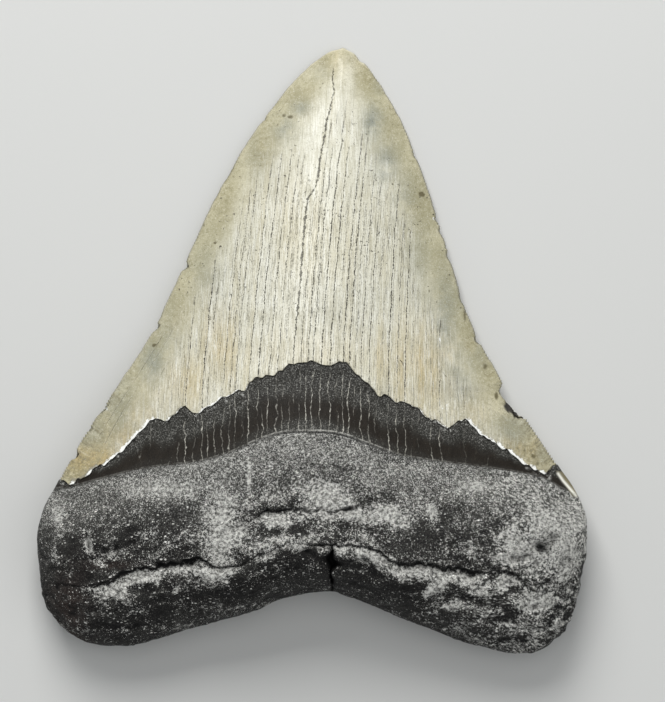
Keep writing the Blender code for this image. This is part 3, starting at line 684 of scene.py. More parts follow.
def root_finish():
    """Black fossil dentine, gritty below the neck and satin on the collar above it."""
    material = bpy.data.materials.new("root")
    material.use_nodes = True
    tree = material.node_tree
    shader = tree.nodes["Principled BSDF"]
    place = add(tree, "TexCoord").outputs["Object"]
    above_neck_at, grit_and_light_at, film_and_light_at = named(tree, "above_neck"), named(tree, "grit_and_light"), named(tree, "film_and_light")

    # Grit: grains of many sizes, fine near the neck and coarse on the lobes, drawn out below the split.
    across_at = add(tree, "SeparateXYZ", {0: place}).outputs[0]
    flow_at = add(tree, "CombineXYZ", {0: sums(tree, "MULTIPLY", across_at, 0.42), 1: named(tree, "below_split")})
    drawn = cloud(tree, flow_at.outputs[0], 1900, 4, 0.8)
    fine, big = cloud(tree, place, 3900, 2, 0.75), cloud(tree, place, 1500, 5, 0.9)
    coarse = named(tree, "coarse")
    grains = mixed(tree, sums(tree, "MULTIPLY_ADD", coarse, 0.85, 0.1), fine, big)
    grains = mixed(tree, product(tree, named(tree, "low"), 0.45), grains, drawn)
    edge = sums(tree, "MULTIPLY_ADD", grit_and_light_at, -0.42, 0.70)
    speck = ramp(tree, grains, sums(tree, "SUBTRACT", edge, 0.02), sums(tree, "ADD", edge, 0.03))
    warp = add(tree, "TexNoise", {"Vector": place, "Scale": 2400, "Detail": 1}).outputs["Color"]
    bent = add(tree, "VectorMath", {0: warp, 1: (0.0005, 0.0003, 0.0003), 2: place}, operation="MULTIPLY_ADD").outputs[0]
    share = sums(tree, "MULTIPLY_ADD", grit_and_light_at, 1.4, -0.08)
    small_grain, small_luck = sparkle(tree, bent, 3000, share)
    big_grain, big_luck = sparkle(tree, scaled(tree, bent, 0.7, 1, 1), 1700, product(tree, share, coarse, 0.75))
    shine = ramp(tree, cloud(tree, place, 1500, 3, 0.75), 0.38, 0.62)
    tone, blur = cloud(tree, place, 3400, 3, 0.8), cloud(tree, place, 900, 4, 0.8)
    stone = laid(tree, film_and_light_at, rgb(15, 13, 12), rgb(78, 78, 74))
    stone = laid(tree, named(tree, "rust"), stone, rgb(66, 46, 38))
    stone = laid(tree, ramp(tree, tone, 0.53, 0.36, 0.0, 0.9), stone, rgb(6, 5, 5))
    stone = laid(tree, ramp(tree, tone, 0.51, 0.66, 0.0, 0.65), stone, rgb(100, 98, 93))
    stone = laid(tree, ramp(tree, blur, 0.50, 0.36, 0.0, 0.6), stone, rgb(9, 8, 8))
    stone = laid(tree, product(tree, speck, 0.9), stone, laid(tree, shine, rgb(112, 111, 106), rgb(232, 231, 224)))
    stone = laid(tree, product(tree, small_grain, 0.95), stone, laid(tree, small_luck, rgb(100, 99, 93), rgb(252, 251, 244)))
    stone = laid(tree, product(tree, big_grain, 0.95), stone, laid(tree, big_luck, rgb(170, 169, 162), rgb(252, 251, 245)))
    # Painted shade in the deepest hollows.
    stone = laid(tree, product(tree, named(tree, "hollow_shade"), 0.75), stone, rgb(7, 6, 6))
    # Painted shade in the cracks, pits and slit.
    stone = laid(tree, named(tree, "crevice_shade"), stone, rgb(3, 3, 3))

    # Collar: satin black, dusty just under the enamel, with pale lines where the cracks ran on.
    below, in_collar_at = named(tree, "below_enamel"), named(tree, "in_collar")
    streak = cloud(tree, scaled(tree, place, 1.0, 0.15, 0.3), 900, 3, 0.6)
    patches = cloud(tree, place, 170, 4, 0.6)
    dust = ramp(tree, sums(tree, "MULTIPLY_ADD", patches, 0.7, in_collar_at), 1.02, 0.66)
    near_neck = ramp(tree, sums(tree, "MULTIPLY_ADD", patches, 0.3, in_collar_at), 0.94, 1.08, 0.0, 1.0)
    dust = sums(tree, "MAXIMUM", dust, product(tree, near_neck, named(tree, "neck_shine")))
    collar = laid(tree, streak, rgb(20, 17, 13), rgb(50, 44, 37))
    collar = laid(tree, dust, collar, rgb(56, 55, 51))
    collar = laid(tree, ramp(tree, tone, 0.53, 0.38, 0.0, 0.6), collar, rgb(10, 9, 8))
    powder_edge = sums(tree, "MULTIPLY_ADD", dust, -0.13, 0.67)
    powder = ramp(tree, tone, powder_edge, sums(tree, "ADD", powder_edge, 0.1))
    collar = laid(tree, product(tree, powder, 0.8), collar, rgb(158, 157, 151))
    strength = sums(tree, "MULTIPLY_ADD", named(tree, "crack_strength"), 0.5, 0.2)
    lines = cracked(tree, named(tree, "crack_at"), named(tree, "crack_gap"), 0.12, 2.0, strength)
    inside = ramp(tree, sums(tree, "MULTIPLY_ADD", patches, 0.7, in_collar_at), 0.40, 0.68)
    inside = product(tree, inside, ramp(tree, above_neck_at, -0.1, 0.1))
    collar = laid(tree, product(tree, lines["Line"], inside, 1.1), collar, rgb(186, 183, 172))
    neck_line = ramp(tree, sums(tree, "ABSOLUTE", sums(tree, "SUBTRACT", above_neck_at, 0.22)), 0.26, 0.06)
    neck_line = product(tree, neck_line, named(tree, "neck_shine"), ramp(tree, blur, 0.40, 0.58))
    collar = laid(tree, neck_line, collar, rgb(162, 161, 154))
    crumbs = product(tree, named(tree, "crumbs"), ramp(tree, blur, 0.56, 0.62))
    collar = laid(tree, crumbs, collar, rgb(236, 235, 228))
    is_collar = ramp(tree, above_neck_at, -0.15, 0.1)
    neck_shade = ramp(tree, sums(tree, "ABSOLUTE", sums(tree, "ADD", above_neck_at, 0.25)), 0.32, 0.08)
    stone = laid(tree, product(tree, neck_shade, named(tree, "neck_shine"), 0.85), stone, rgb(14, 13, 12))
    colour = laid(tree, is_collar, stone, collar)
    colour = laid(tree, named(tree, "sliver"), colour, laid(tree, big, rgb(70, 64, 48), rgb(150, 142, 112)))
    colour = laid(tree, named(tree, "sliver_edge"), colour, rgb(232, 230, 218))
    tree.links.new(colour, shader.inputs["Base Color"])
    tree.links.new(mixed(tree, is_collar, mixed(tree, speck, 0.7, 0.45), 0.46), shader.inputs["Roughness"])
    tree.links.new(mixed(tree, is_collar, 0.26, 0.14), shader.inputs["Specular IOR Level"])
    relief = mixed(tree, is_collar, sums(tree, "MULTIPLY_ADD", tone, 0.3, grains), product(tree, tone, 0.25))
    bump = add(tree, "Bump", {"Height": relief, "Distance": 0.0005, "Strength": 1.0})
    tree.links.new(bump.outputs[0], shader.inputs["Normal"])
    return material


piece.data.materials.append(root_finish())
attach(piece, "root")
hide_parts("tooth")

# Enamel cap.
# The real cap is a thin, hard, pale shell over the dentine, thickest along the middle and drawn out
# to serrated cutting edges.  It has cracked lengthwise as it dried, and its lower edge has broken
# away from the collar in a ragged white step.

BLADE_COLUMNS, BLADE_ROWS, FINE = 336, 188, 6
RIM_STRIP, RIM_INSET = 0.5, 1.1
SERRATION_PITCH, SERRATION_DEPTH = 0.78, 0.26
NICKS = [    # side, y, depth, half length: worn gaps in the cutting edges
    ("left", 53.0, 0.2, 0.4), ("left", 19.2, 0.55, 0.8), ("left", 5.2, 0.7, 0.8), ("left", -24.2, 0.9, 0.5),
    ("left", -13.2, 0.5, 1.0), ("left", 40.0, 0.25, 1.5), ("left", -18.0, 0.3, 0.6),
    ("right", 21.6, 0.5, 0.8), ("right", 27.0, 0.45, 0.6), ("right", 30.0, 0.4, 0.5), ("right", 2.5, 0.7, 0.8),
    ("right", 44.5, 0.3, 0.8), ("right", -9.6, 0.8, 1.0), ("right", -14.6, 0.6, 0.6), ("right", 12.0, 0.3, 1.2),
]


def serration(run, turn):
    """Number of the serration at each distance along a cutting edge, unevenly spaced by noise."""
    return run / SERRATION_PITCH + 0.45 * layered(run, turn, 0, 4.0, 2, 12)


def cutting_edge(side, name, low, shares):
    """Places along one cutting edge, with its serrations and nicks cut into it.

    The edge is pushed towards the middle by depth * (0.5 + 0.5 cos(2 pi number))^1.5, less so up the
    blade and where slow noise has worn it, plus a bell for each nick.
    """
    edge = side_places(side, low, TIP[1], shares)
    run = np.append(0, np.cumsum(np.hypot(*np.diff(edge, axis=0).T)))
    along = np.gradient(edge, axis=0)
    along /= np.hypot(*along.T)[:, None]
    turn = -1 if name == "left" else 1
    outwards = turn * np.stack([along[:, 1], -along[:, 0]], axis=-1)
    gaps = (0.5 + 0.5 * np.cos(2 * np.pi * serration(run, turn))) ** 1.5
    worn = 0.45 + 0.55 * ease((4 - edge[:, 1]) / 20)
    worn *= np.clip(0.6 + 0.9 * layered(run, turn, 0, 3.0, 2, 14), 0.1, 1.2)
    cut = SERRATION_DEPTH * gaps * worn * ease((run[-1] - run) / 14) + 0.10 * (1 + layered(run, turn, 0, 2.2, 3, 16))
    for nick_side, y, depth, half_length in NICKS:
        if nick_side == name:
            near = np.interp(y, edge[:, 1], run)
            cut += depth * bell((run - near) * (1 + 0.4 * noise(run, 0, 0, 0.8, 3)), half_length)
    return edge - outwards * (cut * ease((run[-1] - run) / 1.5))[:, None]


row_shares = np.append(spaced(BLADE_ROWS, (0, 0.012, 4), (1, 0.03, 1.5))[:-1], 0.993)
steps = np.arange(FINE * (len(row_shares) - 1) + 1) / FINE
fine_shares = np.interp(steps, np.arange(len(row_shares)), row_shares)
ends = enamel_edge[[0, -1], 1]
left_rim = cutting_edge(left_side, "left", ends[0], fine_shares)
right_rim = cutting_edge(right_side, "right", ends[1], fine_shares)


def blade_plan(edge_line, columns):
    """Plan of the cap's rings between its two rim strips on one face, from its lower edge up."""
    line = edge_line.copy()
    line[[0, -1], 1] = ends
    plan = band(line, np.array([TIP, TIP]), row_shares, columns)
    width = plan[:, -1:, 0] - plan[:, :1, 0]
    inset = np.minimum(RIM_INSET, 0.25 * width)
    middle = (plan[:, -1:, 0] + plan[:, :1, 0]) / 2
    plan[..., 0] = middle + (plan[..., 0] - middle) * (1 - 2 * inset / width)
    return plan


def rim_strip(edge, towards, face_height):
    """Places just inside a cutting edge on one face, where its serrations run out."""
    width = np.abs(right_rim[:, 0] - left_rim[:, 0])
    strip = edge + towards * np.minimum(RIM_STRIP, 0.12 * width)[:, None] * np.array([1.0, 0.0])
    return np.column_stack([strip, face_height(strip[:, 0], strip[:, 1], True)])


blade_columns = spaced(BLADE_COLUMNS)
kept = np.arange(0, BLADE_COLUMNS + 1, LABIAL_STRIDE)
front, back = blade_plan(enamel_edge, blade_columns), blade_plan(labial_edge, blade_columns[kept])
front_z = lingual_height(front[..., 0], front[..., 1], True)
back_z = labial_height(back[..., 0], back[..., 1], True)
ridge_x = np.interp(front[..., 1], [40, 69], [5.0, 7.4])
ridge = np.clip(1 - np.abs(front[..., 0] - ridge_x) / 3.4, 0, 1)
front_z += 0.6 * ridge * ease((front[..., 1] - 44) / 12) * ease((69.3 - front[..., 1]) / 3)

sheets = [np.dstack([front, front_z]).reshape(-1, 3), np.dstack([back, back_z]).reshape(-1, 3)]
for edge, towards in ((left_rim, 1), (right_rim, -1)):
    sheets.append(np.column_stack([edge, rim_height(edge[:, 1])]))
    sheets += [rim_strip(edge, towards, lingual_height), rim_strip(edge, towards, labial_height)]
starts = np.append(0, np.cumsum([len(s) for s in sheets]))
front_at = np.arange(starts[0], starts[1]).reshape(front_z.shape)
back_at = np.arange(starts[1], starts[2]).reshape(back_z.shape)
left_at, left_front, left_back, right_at, right_front, right_back = (
    np.arange(a, b) for a, b in zip(starts[2:-1], starts[3:])
)
tip_at = starts[-1]
places = np.vstack([*sheets, [(*TIP, rim_height(TIP[1]))]])


def strip_quads(left, right):
    """Faces between two columns of vertices that climb side by side."""
    return np.stack([left[:-1], right[:-1], right[1:], left[1:]], axis=-1).tolist()


def fan_strip(fine, wide, flip):
    """Faces between a finely stepped column and a widely stepped one, FINE + 3 corners each."""
    steps = [fine[n:len(fine) - FINE + n:FINE] for n in range(FINE)] + [fine[FINE::FINE]]
    ring = np.stack([wide[1:], wide[:-1], *steps], axis=-1)
    return (ring[:, ::-1] if flip else ring).tolist()


faces = quads(front_at).tolist() + quads(back_at)[:, ::-1].tolist()
faces += strip_quads(left_at, left_front) + strip_quads(right_front, right_at)
faces += strip_quads(left_back, left_at) + strip_quads(right_at, right_back)
faces += fan_strip(left_front, front_at[:, 0], True) + fan_strip(right_front, front_at[:, -1], False)
faces += fan_strip(left_back, back_at[:, 0], False) + fan_strip(right_back, back_at[:, -1], True)
rows = [    # the lowest and the topmost ring on each face, from left to right
    np.concatenate([[left_at[n], strip[n]], sheet[n], [other[n], right_at[n]]])
    for n in (0, -1)
    for strip, sheet, other in ((left_front, front_at, right_front), (left_back, back_at, right_back))
]
low_front, low_back, top_front, top_back = rows
faces += [(a, b, tip_at) for a, b in zip(top_front[:-1], top_front[1:])]
faces += [(b, a, tip_at) for a, b in zip(top_back[:-1], top_back[1:])]

# The broken edge turns down to the collar in two more rings, and a floor inside the tooth closes it.
EDGE_RINGS = [(-0.05, 0.25), (-0.10, 1.3)]      # how far each ring steps out below the edge, and drops
above_front, above_back = low_front, low_back
for out, drop in EDGE_RINGS:
    rings = []
    for low_ring, above_ring, sign in ((low_front, above_front, -1), (low_back, above_back, 1)):
        ring = places[low_ring[1:-1]].copy()
        fade = ease(np.minimum(ring[:, 0] - ring[0, 0], ring[-1, 0] - ring[:, 0]) / 2.0)
        ring[:, 1] += out * fade
        ring[:, 2] += sign * drop * fade
        numbers = np.concatenate([[low_ring[0]], len(places) + np.arange(len(ring)), [low_ring[-1]]])
        places = np.vstack([places, ring])
        around = np.stack([numbers[:-1], numbers[1:], above_ring[1:], above_ring[:-1]], axis=-1)
        faces += (around if sign < 0 else around[:, ::-1]).tolist()
        rings.append(numbers)
    above_front, above_back = rings
for j, (start, stop) in enumerate(zip(kept[:-1], kept[1:])):
    faces.append([above_back[j + 3], above_back[j + 2], *above_front[start + 2:stop + 3]][::-1])
faces.append([above_back[2], above_back[1], above_back[0], above_front[1], above_front[2]][::-1])
faces.append([above_back[-1], above_back[-2], above_back[-3], above_front[-3], above_front[-2]][::-1])
faces = [[v for n, v in enumerate(face) if v != face[n - 1]] for face in faces]
piece = make_piece("enamel", places, faces)

x, y, z = places.T
on_front = np.zeros(len(places), bool)
for shown in (front_at.ravel(), left_front, right_front, left_at, right_at):
    on_front[shown] = True
on_front[tip_at + 1:] = z[tip_at + 1:] > 0.9 * rim_height(y[tip_at + 1:])
rims = [side_places(side, low, TIP[1], row_shares) for side, low in zip((left_side, right_side), ends)]
(from_left, left_run), (from_right, right_run) = (nearest_on(path, x, y) for path in rims)
from_rim = np.minimum(from_left, from_right)
gap_number = np.where(from_left < from_right, serration(left_run, -1), serration(right_run, 1))
above_edge = np.where(on_front, y - y_on(enamel_edge, x), y - y_on(labial_edge, x))
LONG_CRACK = [    # the widest crack, from the foot of the crown to its tip: x, y, how far it gapes
    (-4.3, -4.0, 0.3), (-3.9, 2.0, 0.4), (-3.2, 9.0, 0.8), (-2.8, 13.2, 0.8), (-2.3, 19.7, 0.9), (-1.8, 26.6, 1.0),
    (-1.4, 31.6, 1.0), (-0.9, 34.5, 0.8), (0.6, 36.6, 0.7), (1.3, 38.5, 0.9), (1.8, 42.7, 0.7), (2.3, 45.9, 0.6),
    (2.9, 49.1, 0.8), (3.3, 52.3, 0.7), (4.3, 55.5, 0.7), (5.0, 59.2, 0.4), (4.7, 62.0, 0.35), (4.9, 65.5, 0.0),
]
long_x, long_y, long_gape = np.array(LONG_CRACK).T
long_off = x - np.interp(y, long_y, long_x)
long_wide = np.interp(y, long_y, long_gape) * on_front
CHIP = [(-16.2, -0.5), (-15.4, 1.4), (-14.0, 2.0), (-12.0, 1.2), (-9.0, 0.8), (-7.4, -0.5)]      # y, how far in
chip_y, chip_reach = np.array(CHIP).T
chip_reach = np.interp(y, chip_y, chip_reach) + 0.45 * layered(x, y, z, 1.3, 2, 80) * (y > chip_y[0])
chip = ease((chip_reach - from_right) / 0.3) * (from_right < from_left)
chip = np.maximum(chip, 0.9 * bell(y - 19.0, 0.5) * bell(from_left, 0.7))
chip = np.maximum(chip, 0.9 * bell(y + 23.3 + 0.6 * from_left, 0.22) * bell(from_left, 1.2)) * on_front

inward = ease(from_rim / 3)
shift = inward * (0.035 * layered(x, y * 0.08, 0, 1.3, 3, 60) + 0.10 * layered(x, y * 0.3, 0, 9.0, 2, 64))
shift -= 0.12 * long_wide * bell(long_off, 0.3) + 0.35 * chip
shift -= 0.25 * bell(above_edge, 0.4) * (0.5 + 0.5 * layered(x, y, z, 1.2, 2, 70)) * ease(from_rim / 2)
places += normals_of(piece) * shift[:, None]
reshape(piece, np.clip(places, box[0], box[1]))

TAN_SPOTS = [    # warm stains: x, y, half width, half length, amount
    (-21.0, 0.5, 2.6, 5.5, 0.9), (-29.0, -7.5, 4.0, 4.5, 0.7), (25.5, -4.5, 5.0, 7.0, 0.85), (17.0, -2.0, 4.0, 5.0, 0.45),
    (-49.0, -25.0, 6.0, 2.4, 1.5), (-43.0, -20.0, 3.0, 3.0, 0.9), (-39.0, -15.5, 3.0, 3.5, 0.5), (49.0, -23.5, 4.0, 3.0, 1.0), (-33.0, -10.0, 4.0, 5.0, 0.4),
    (6.8, 66.8, 3.5, 2.5, 0.3), (-5.0, 30.0, 4.0, 12.0, 0.25), (35.0, -14.5, 3.5, 3.5, 0.5), (0.0, -1.0, 18.0, 5.0, 0.3),
]
GREY_SPOTS = [    # blue-grey clouds
    (13.8, 52.0, 2.0, 3.0, 1.3), (17.2, 42.5, 2.0, 3.6, 1.1), (21.5, 34.0, 2.5, 5.0, 0.7), (-2.8, 55.5, 1.6, 1.3, 1.1),
    (-6.5, 50.5, 2.0, 2.2, 0.9), (-12.0, 44.0, 2.5, 4.0, 0.5), (-36.5, -2.7, 2.4, 3.6, 1.1), (-44.0, -12.5, 3.0, 6.0, 0.7),
    (30.5, 8.0, 2.6, 8.0, 0.9), (34.0, -5.0, 3.0, 6.0, 0.7), (-24.0, 17.0, 3.0, 6.0, 0.5), (-50.0, -19.0, 3.0, 3.0, 0.6),
    (46.0, -18.5, 3.0, 3.5, 0.9), (24.0, 22.0, 2.6, 8.0, 0.5), (-33.0, 2.0, 2.5, 7.0, 0.6), (3.0, 8.0, 6.0, 6.0, 0.3),
    (52.5, -24.0, 1.5, 2.5, 0.8), (15.5, 60.5, 1.2, 2.0, 0.5), (2.2, 63.5, 1.5, 1.5, 0.5), (38.0, 0.0, 2.0, 5.0, 0.5),
]
PALE_AND_LIT_SPOTS = [    # where the enamel is whitest, with painted highlight on the tip ridge's right flank and over the middle of the crown
    (8.3, 62.0, 1.5, 5.0, 0.9), (9.2, 53.0, 1.8, 6.0, 0.7), (3.0, 20.0, 12.0, 16.0, 0.35),
]
DOTS = [    # small olive-brown dots: x, y, half width, half length, amount
    (-6.5, 53.6, 0.5, 0.42, 1.0), (-4.9, 53.3, 0.65, 0.4, 1.0), (-7.8, 51.6, 0.3, 0.3, 1.0), (2.5, 61.0, 0.3, 0.3, 0.9),
    (1.9, 59.9, 0.25, 0.25, 0.8), (-11.8, 42.0, 0.3, 0.3, 0.9), (25.2, 35.6, 0.6, 0.45, 1.0), (-16.5, 34.3, 0.3, 0.3, 0.8),
    (-22.1, 24.5, 0.5, 0.35, 1.0), (-23.2, 7.1, 0.3, 0.6, 0.9), (-36.1, 0.9, 0.5, 0.35, 0.9), (35.0, 7.9, 0.4, 1.9, 0.75),
    (42.2, -10.8, 0.5, 1.1, 0.9), (39.6, -3.8, 0.7, 0.9, 0.7), (50.6, -24.3, 0.55, 0.5, 0.95), (48.6, -23.0, 0.5, 0.4, 0.8),
    (26.8, 13.4, 0.2, 0.5, 0.9), (14.0, 64.5, 0.5, 0.3, 0.5), (13.2, 61.0, 0.6, 0.25, 0.6), (-1.8, 59.3, 0.5, 0.4, 0.45),
    (-3.0, 57.0, 0.5, 0.3, 0.4), (-13.0, 46.0, 0.5, 0.5, 0.4), (47.0, -22.4, 0.5, 0.5, 0.7), (51.5, -26.0, 0.6, 0.6, 0.7),
]
OLIVE_SPOTS = [    # olive-brown smudges
    (-3.0, 58.2, 3.0, 2.0, 0.6), (-11.5, 46.0, 2.0, 4.0, 0.6), (-20.0, 34.0, 2.0, 5.0, 0.5), (12.5, 62.0, 1.5, 2.5, 0.6),
    (24.5, 33.0, 2.0, 6.0, 0.5), (49.0, -24.0, 2.6, 2.0, 0.8), (36.5, 4.0, 1.6, 4.0, 0.5), (40.5, -5.0, 1.5, 2.0, 0.6),
    (-30.0, 8.0, 2.0, 4.0, 0.4), (-53.0, -27.0, 3.0, 2.0, 0.6), (2.5, 66.5, 1.5, 1.5, 0.5), (18.0, 51.0, 1.5, 4.0, 0.4),
]
WHITE_SPOTS = [    # small fresh chips
    (-46.9, -13.5, 0.5, 0.6, 0.7), (29.2, 2.4, 0.25, 0.6, 0.8), (29.7, -13.2, 0.35, 1.6, 0.62), (30.7, -12.8, 0.3, 1.2, 0.6),
    (28.0, 30.0, 0.4, 0.7, 0.65), (28.7, 27.0, 0.4, 0.5, 0.65), (35.0, -12.6, 0.25, 1.2, 0.6), (-53.0, -23.4, 0.3, 0.5, 0.6),
    (34.8, -8.0, 0.2, 1.8, 0.5), (-28.9, -6.0, 0.22, 6.0, 0.42), (17.5, -8.4, 0.5, 0.6, 0.6), (12.5, -6.3, 0.4, 0.5, 0.55),
]


def spots(spots_at):
    """The strongest of a set of soft spots at each vertex."""
    total = np.zeros(len(x))
    for spot_x, spot_y, half_width, half_length, amount in spots_at:
        total = np.maximum(total, amount * bell(x - spot_x, half_width) * bell(y - spot_y, half_length))
    return total * on_front


give(piece, {
    "from_rim": from_rim, "gap_number": gap_number, "above_edge": above_edge, "long_off": long_off,
    "long_wide": long_wide, "broken_white": np.interp(x, white_x, white_share), "chip": chip,
    "tan": spots(TAN_SPOTS), "grey": spots(GREY_SPOTS), "pale": spots(PALE_AND_LIT_SPOTS), "olive": spots(OLIVE_SPOTS), "dots": spots(DOTS),
    "white": spots(WHITE_SPOTS), "height": y, **crack_field(x, y),
})


def enamel_finish():
    """Cream enamel: olive near its edges, streaked and stained, with dark cracks up its middle."""
    material = bpy.data.materials.new("enamel")
    material.use_nodes = True
    tree = material.node_tree
    shader = tree.nodes["Principled BSDF"]
    place = add(tree, "TexCoord").outputs["Object"]
    drawn = scaled(tree, place, 1.0, 0.06, 0.15)
    slow, blotch = cloud(tree, place, 60, 3, 0.55), cloud(tree, place, 210, 4, 0.65)
    streak, broad = cloud(tree, drawn, 1500, 4, 0.7), cloud(tree, drawn, 420, 2, 0.5)
    silk = cloud(tree, scaled(tree, place, 1.0, 0.05, 0.15), 4200, 2, 0.6)
    fine, speckle = cloud(tree, place, 3000, 3, 0.75), cloud(tree, place, 1100, 4, 0.8)
    from_rim_at = named(tree, "from_rim")
    rim_at = sums(tree, "MULTIPLY_ADD", slow, 9.0, sums(tree, "SUBTRACT", from_rim_at, 4.5))
    inner = ramp(tree, rim_at, 3.0, 11.0)

    # Cracks, and the tint of the strips between them.
    number, gap, strength = named(tree, "crack_at"), named(tree, "crack_gap"), named(tree, "crack_strength")
    field = ramp(tree, rim_at, 3.0, 9.0, -0.8, 0.08)
    field = sums(tree, "ADD", field, ramp(tree, named(tree, "height"), 28.0, 62.0, 0.0, -0.55))
    lines = cracked(tree, number, gap, sums(tree, "MULTIPLY_ADD", strength, 0.10, 0.09), 0.9, sums(tree, "ADD", strength, field))
    half = sums(tree, "MULTIPLY_ADD", number, 2.0, 0.5)
    hairs = cracked(tree, half, sums(tree, "MULTIPLY", gap, 0.5), 0.09, 0.9, sums(tree, "ADD", 0.42, field))
    third = sums(tree, "MULTIPLY", number, 3.0)
    wisps = cracked(tree, third, sums(tree, "MULTIPLY", gap, 0.33), 0.08, 0.7, sums(tree, "ADD", 0.40, field))
    long_off_at, long_wide_at = named(tree, "long_off"), named(tree, "long_wide")
    jag = sums(tree, "SUBTRACT", cloud(tree, place, 1300, 4, 0.85), 0.5)
    long_at = sums(tree, "ABSOLUTE", sums(tree, "MULTIPLY_ADD", jag, 1.2, long_off_at))
    gape = product(tree, long_wide_at, sums(tree, "MULTIPLY_ADD", cloud(tree, place, 1000, 3, 0.8), 1.9, -0.76))
    long_line = ramp(tree, long_at, sums(tree, "MULTIPLY", gape, 0.3), sums(tree, "ADD", gape, 0.07), 1.0, 0.0)
    long_line = product(tree, long_line, ramp(tree, long_wide_at, 0.0, 0.2))
    clear = ramp(tree, sums(tree, "ABSOLUTE", long_off_at), 0.5, 1.1)
    cracks = sums(tree, "MAXIMUM", product(tree, hairs["Line"], 0.8), product(tree, wisps["Line"], 0.6))
    cracks = sums(tree, "MAXIMUM", lines["Line"], cracks)
    cracks = sums(tree, "MAXIMUM", product(tree, cracks, clear), long_line)

    colour = laid(tree, inner, rgb(180, 174, 142), rgb(214, 212, 195))
    colour = laid(tree, ramp(tree, slow, 0.38, 0.68, 0.0, 0.4), colour, rgb(204, 197, 168))
    strip = sums(tree, "SUBTRACT", lines["Strip"], 0.5)
    patch = product(tree, inner, ramp(tree, broad, 0.3, 0.6))
    colour = laid(tree, product(tree, ramp(tree, strip, 0.05, 0.5), patch, 0.35), colour, rgb(200, 191, 158))
    colour = laid(tree, product(tree, ramp(tree, strip, -0.05, -0.5), patch, 0.35), colour, rgb(230, 230, 220))
    tan_at = product(tree, named(tree, "tan"), sums(tree, "MULTIPLY_ADD", broad, 1.6, 0.1))
    tan_at = product(tree, tan_at, sums(tree, "MULTIPLY_ADD", strip, 0.5, 0.9))
    colour = laid(tree, sums(tree, "MULTIPLY", tan_at, 0.9), colour, rgb(192, 172, 122))
    grey_at = product(tree, named(tree, "grey"), sums(tree, "MULTIPLY_ADD", blotch, 3.4, -0.9))
    colour = laid(tree, product(tree, grey_at, 0.85), colour, rgb(132, 138, 131))
    # Whiter enamel, with painted highlight beside the tip ridge and over the middle of the crown.
    colour = laid(tree, product(tree, named(tree, "pale"), 0.6), colour, rgb(243, 240, 224))
    olive_at = product(tree, named(tree, "olive"), sums(tree, "MULTIPLY_ADD", speckle, 3.0, -0.8))
    colour = laid(tree, olive_at, colour, rgb(134, 125, 86))
    wing = ramp(tree, named(tree, "height"), -4.0, -24.0)
    edgy = ramp(tree, from_rim_at, 9.0, 1.0)
    colour = laid(tree, product(tree, wing, ramp(tree, speckle, 0.35, 0.7), 0.6), colour, rgb(108, 100, 78))
    colour = laid(tree, product(tree, edgy, ramp(tree, speckle, 0.50, 0.68), 0.65), colour, rgb(132, 125, 92))
    colour = laid(tree, product(tree, edgy, ramp(tree, speckle, 0.46, 0.30), 0.4), colour, rgb(214, 208, 180))
    mottle = ramp(tree, blotch, 0.42, 0.72, 0.0, 0.7)
    colour = laid(tree, product(tree, mottle, sums(tree, "MULTIPLY_ADD", inner, -0.6, 1.0)), colour, rgb(158, 152, 120))
    dark_streak = ramp(tree, streak, 0.52, 0.74)
    colour = laid(tree, product(tree, dark_streak, sums(tree, "MULTIPLY_ADD", inner, 0.5, 0.06)), colour, rgb(146, 138, 109))
    pale_streak = ramp(tree, streak, 0.47, 0.28)
    colour = laid(tree, product(tree, pale_streak, inner, 0.6), colour, rgb(238, 237, 226))
    colour = laid(tree, product(tree, ramp(tree, silk, 0.52, 0.68), inner, 0.4), colour, rgb(156, 151, 128))
    colour = laid(tree, product(tree, ramp(tree, silk, 0.48, 0.34), inner, 0.4), colour, rgb(240, 240, 230))
    colour = laid(tree, ramp(tree, fine, 0.50, 0.72, 0.0, 0.5), colour, rgb(146, 139, 112))
    colour = laid(tree, ramp(tree, fine, 0.47, 0.27, 0.0, 0.4), colour, rgb(240, 238, 226))
    dots = ramp(tree, sums(tree, "MULTIPLY_ADD", blotch, 0.9, named(tree, "dots")), 0.85, 1.25)
    colour = laid(tree, product(tree, dots, 0.85), colour, rgb(84, 76, 46))
    colour = laid(tree, product(tree, cracks, 0.9), colour, rgb(64, 60, 48))

    # Serration gaps run a little way in over the face as dark oblique streaks.
    gaps = sums(tree, "COSINE", product(tree, named(tree, "gap_number"), 2 * np.pi))
    gaps = ramp(tree, gaps, 0.2, 1.0)
    wings = ramp(tree, named(tree, "height"), 8.0, -16.0)
    along = sums(tree, "MULTIPLY", named(tree, "gap_number"), SERRATION_PITCH * MM)
    inwards = sums(tree, "MULTIPLY", from_rim_at, 0.12 * MM)
    fray = cloud(tree, add(tree, "CombineXYZ", {0: along, 1: inwards}).outputs[0], 800, 3, 0.65)
    reach = sums(tree, "MULTIPLY", sums(tree, "MULTIPLY_ADD", wings, 2.2, 0.6), sums(tree, "MULTIPLY_ADD", speckle, 5.0, -1.9))
    depth = ramp(tree, sums(tree, "SUBTRACT", from_rim_at, reach), 0.0, -1.0)
    gaps = product(tree, gaps, depth, sums(tree, "MULTIPLY_ADD", wings, 0.24, 0.12))
    frayed = product(tree, wings, ramp(tree, sums(tree, "MULTIPLY_ADD", slow, 8.0, from_rim_at), 10.0, 5.0))
    colour = laid(tree, product(tree, frayed, ramp(tree, fray, 0.48, 0.72), 0.55), colour, rgb(120, 114, 92))
    colour = laid(tree, product(tree, frayed, ramp(tree, fray, 0.46, 0.28), 0.4), colour, rgb(212, 207, 186))
    gaps = product(tree, gaps, ramp(tree, named(tree, "height"), 62.0, 45.0))
    colour = laid(tree, gaps, colour, rgb(96, 90, 70))
    # Painted highlight: a pale band along the cutting edges, where the rim turns over towards the light.
    colour = laid(tree, ramp(tree, from_rim_at, 0.5, 0.15, 0.0, 0.6), colour, rgb(224, 218, 194))

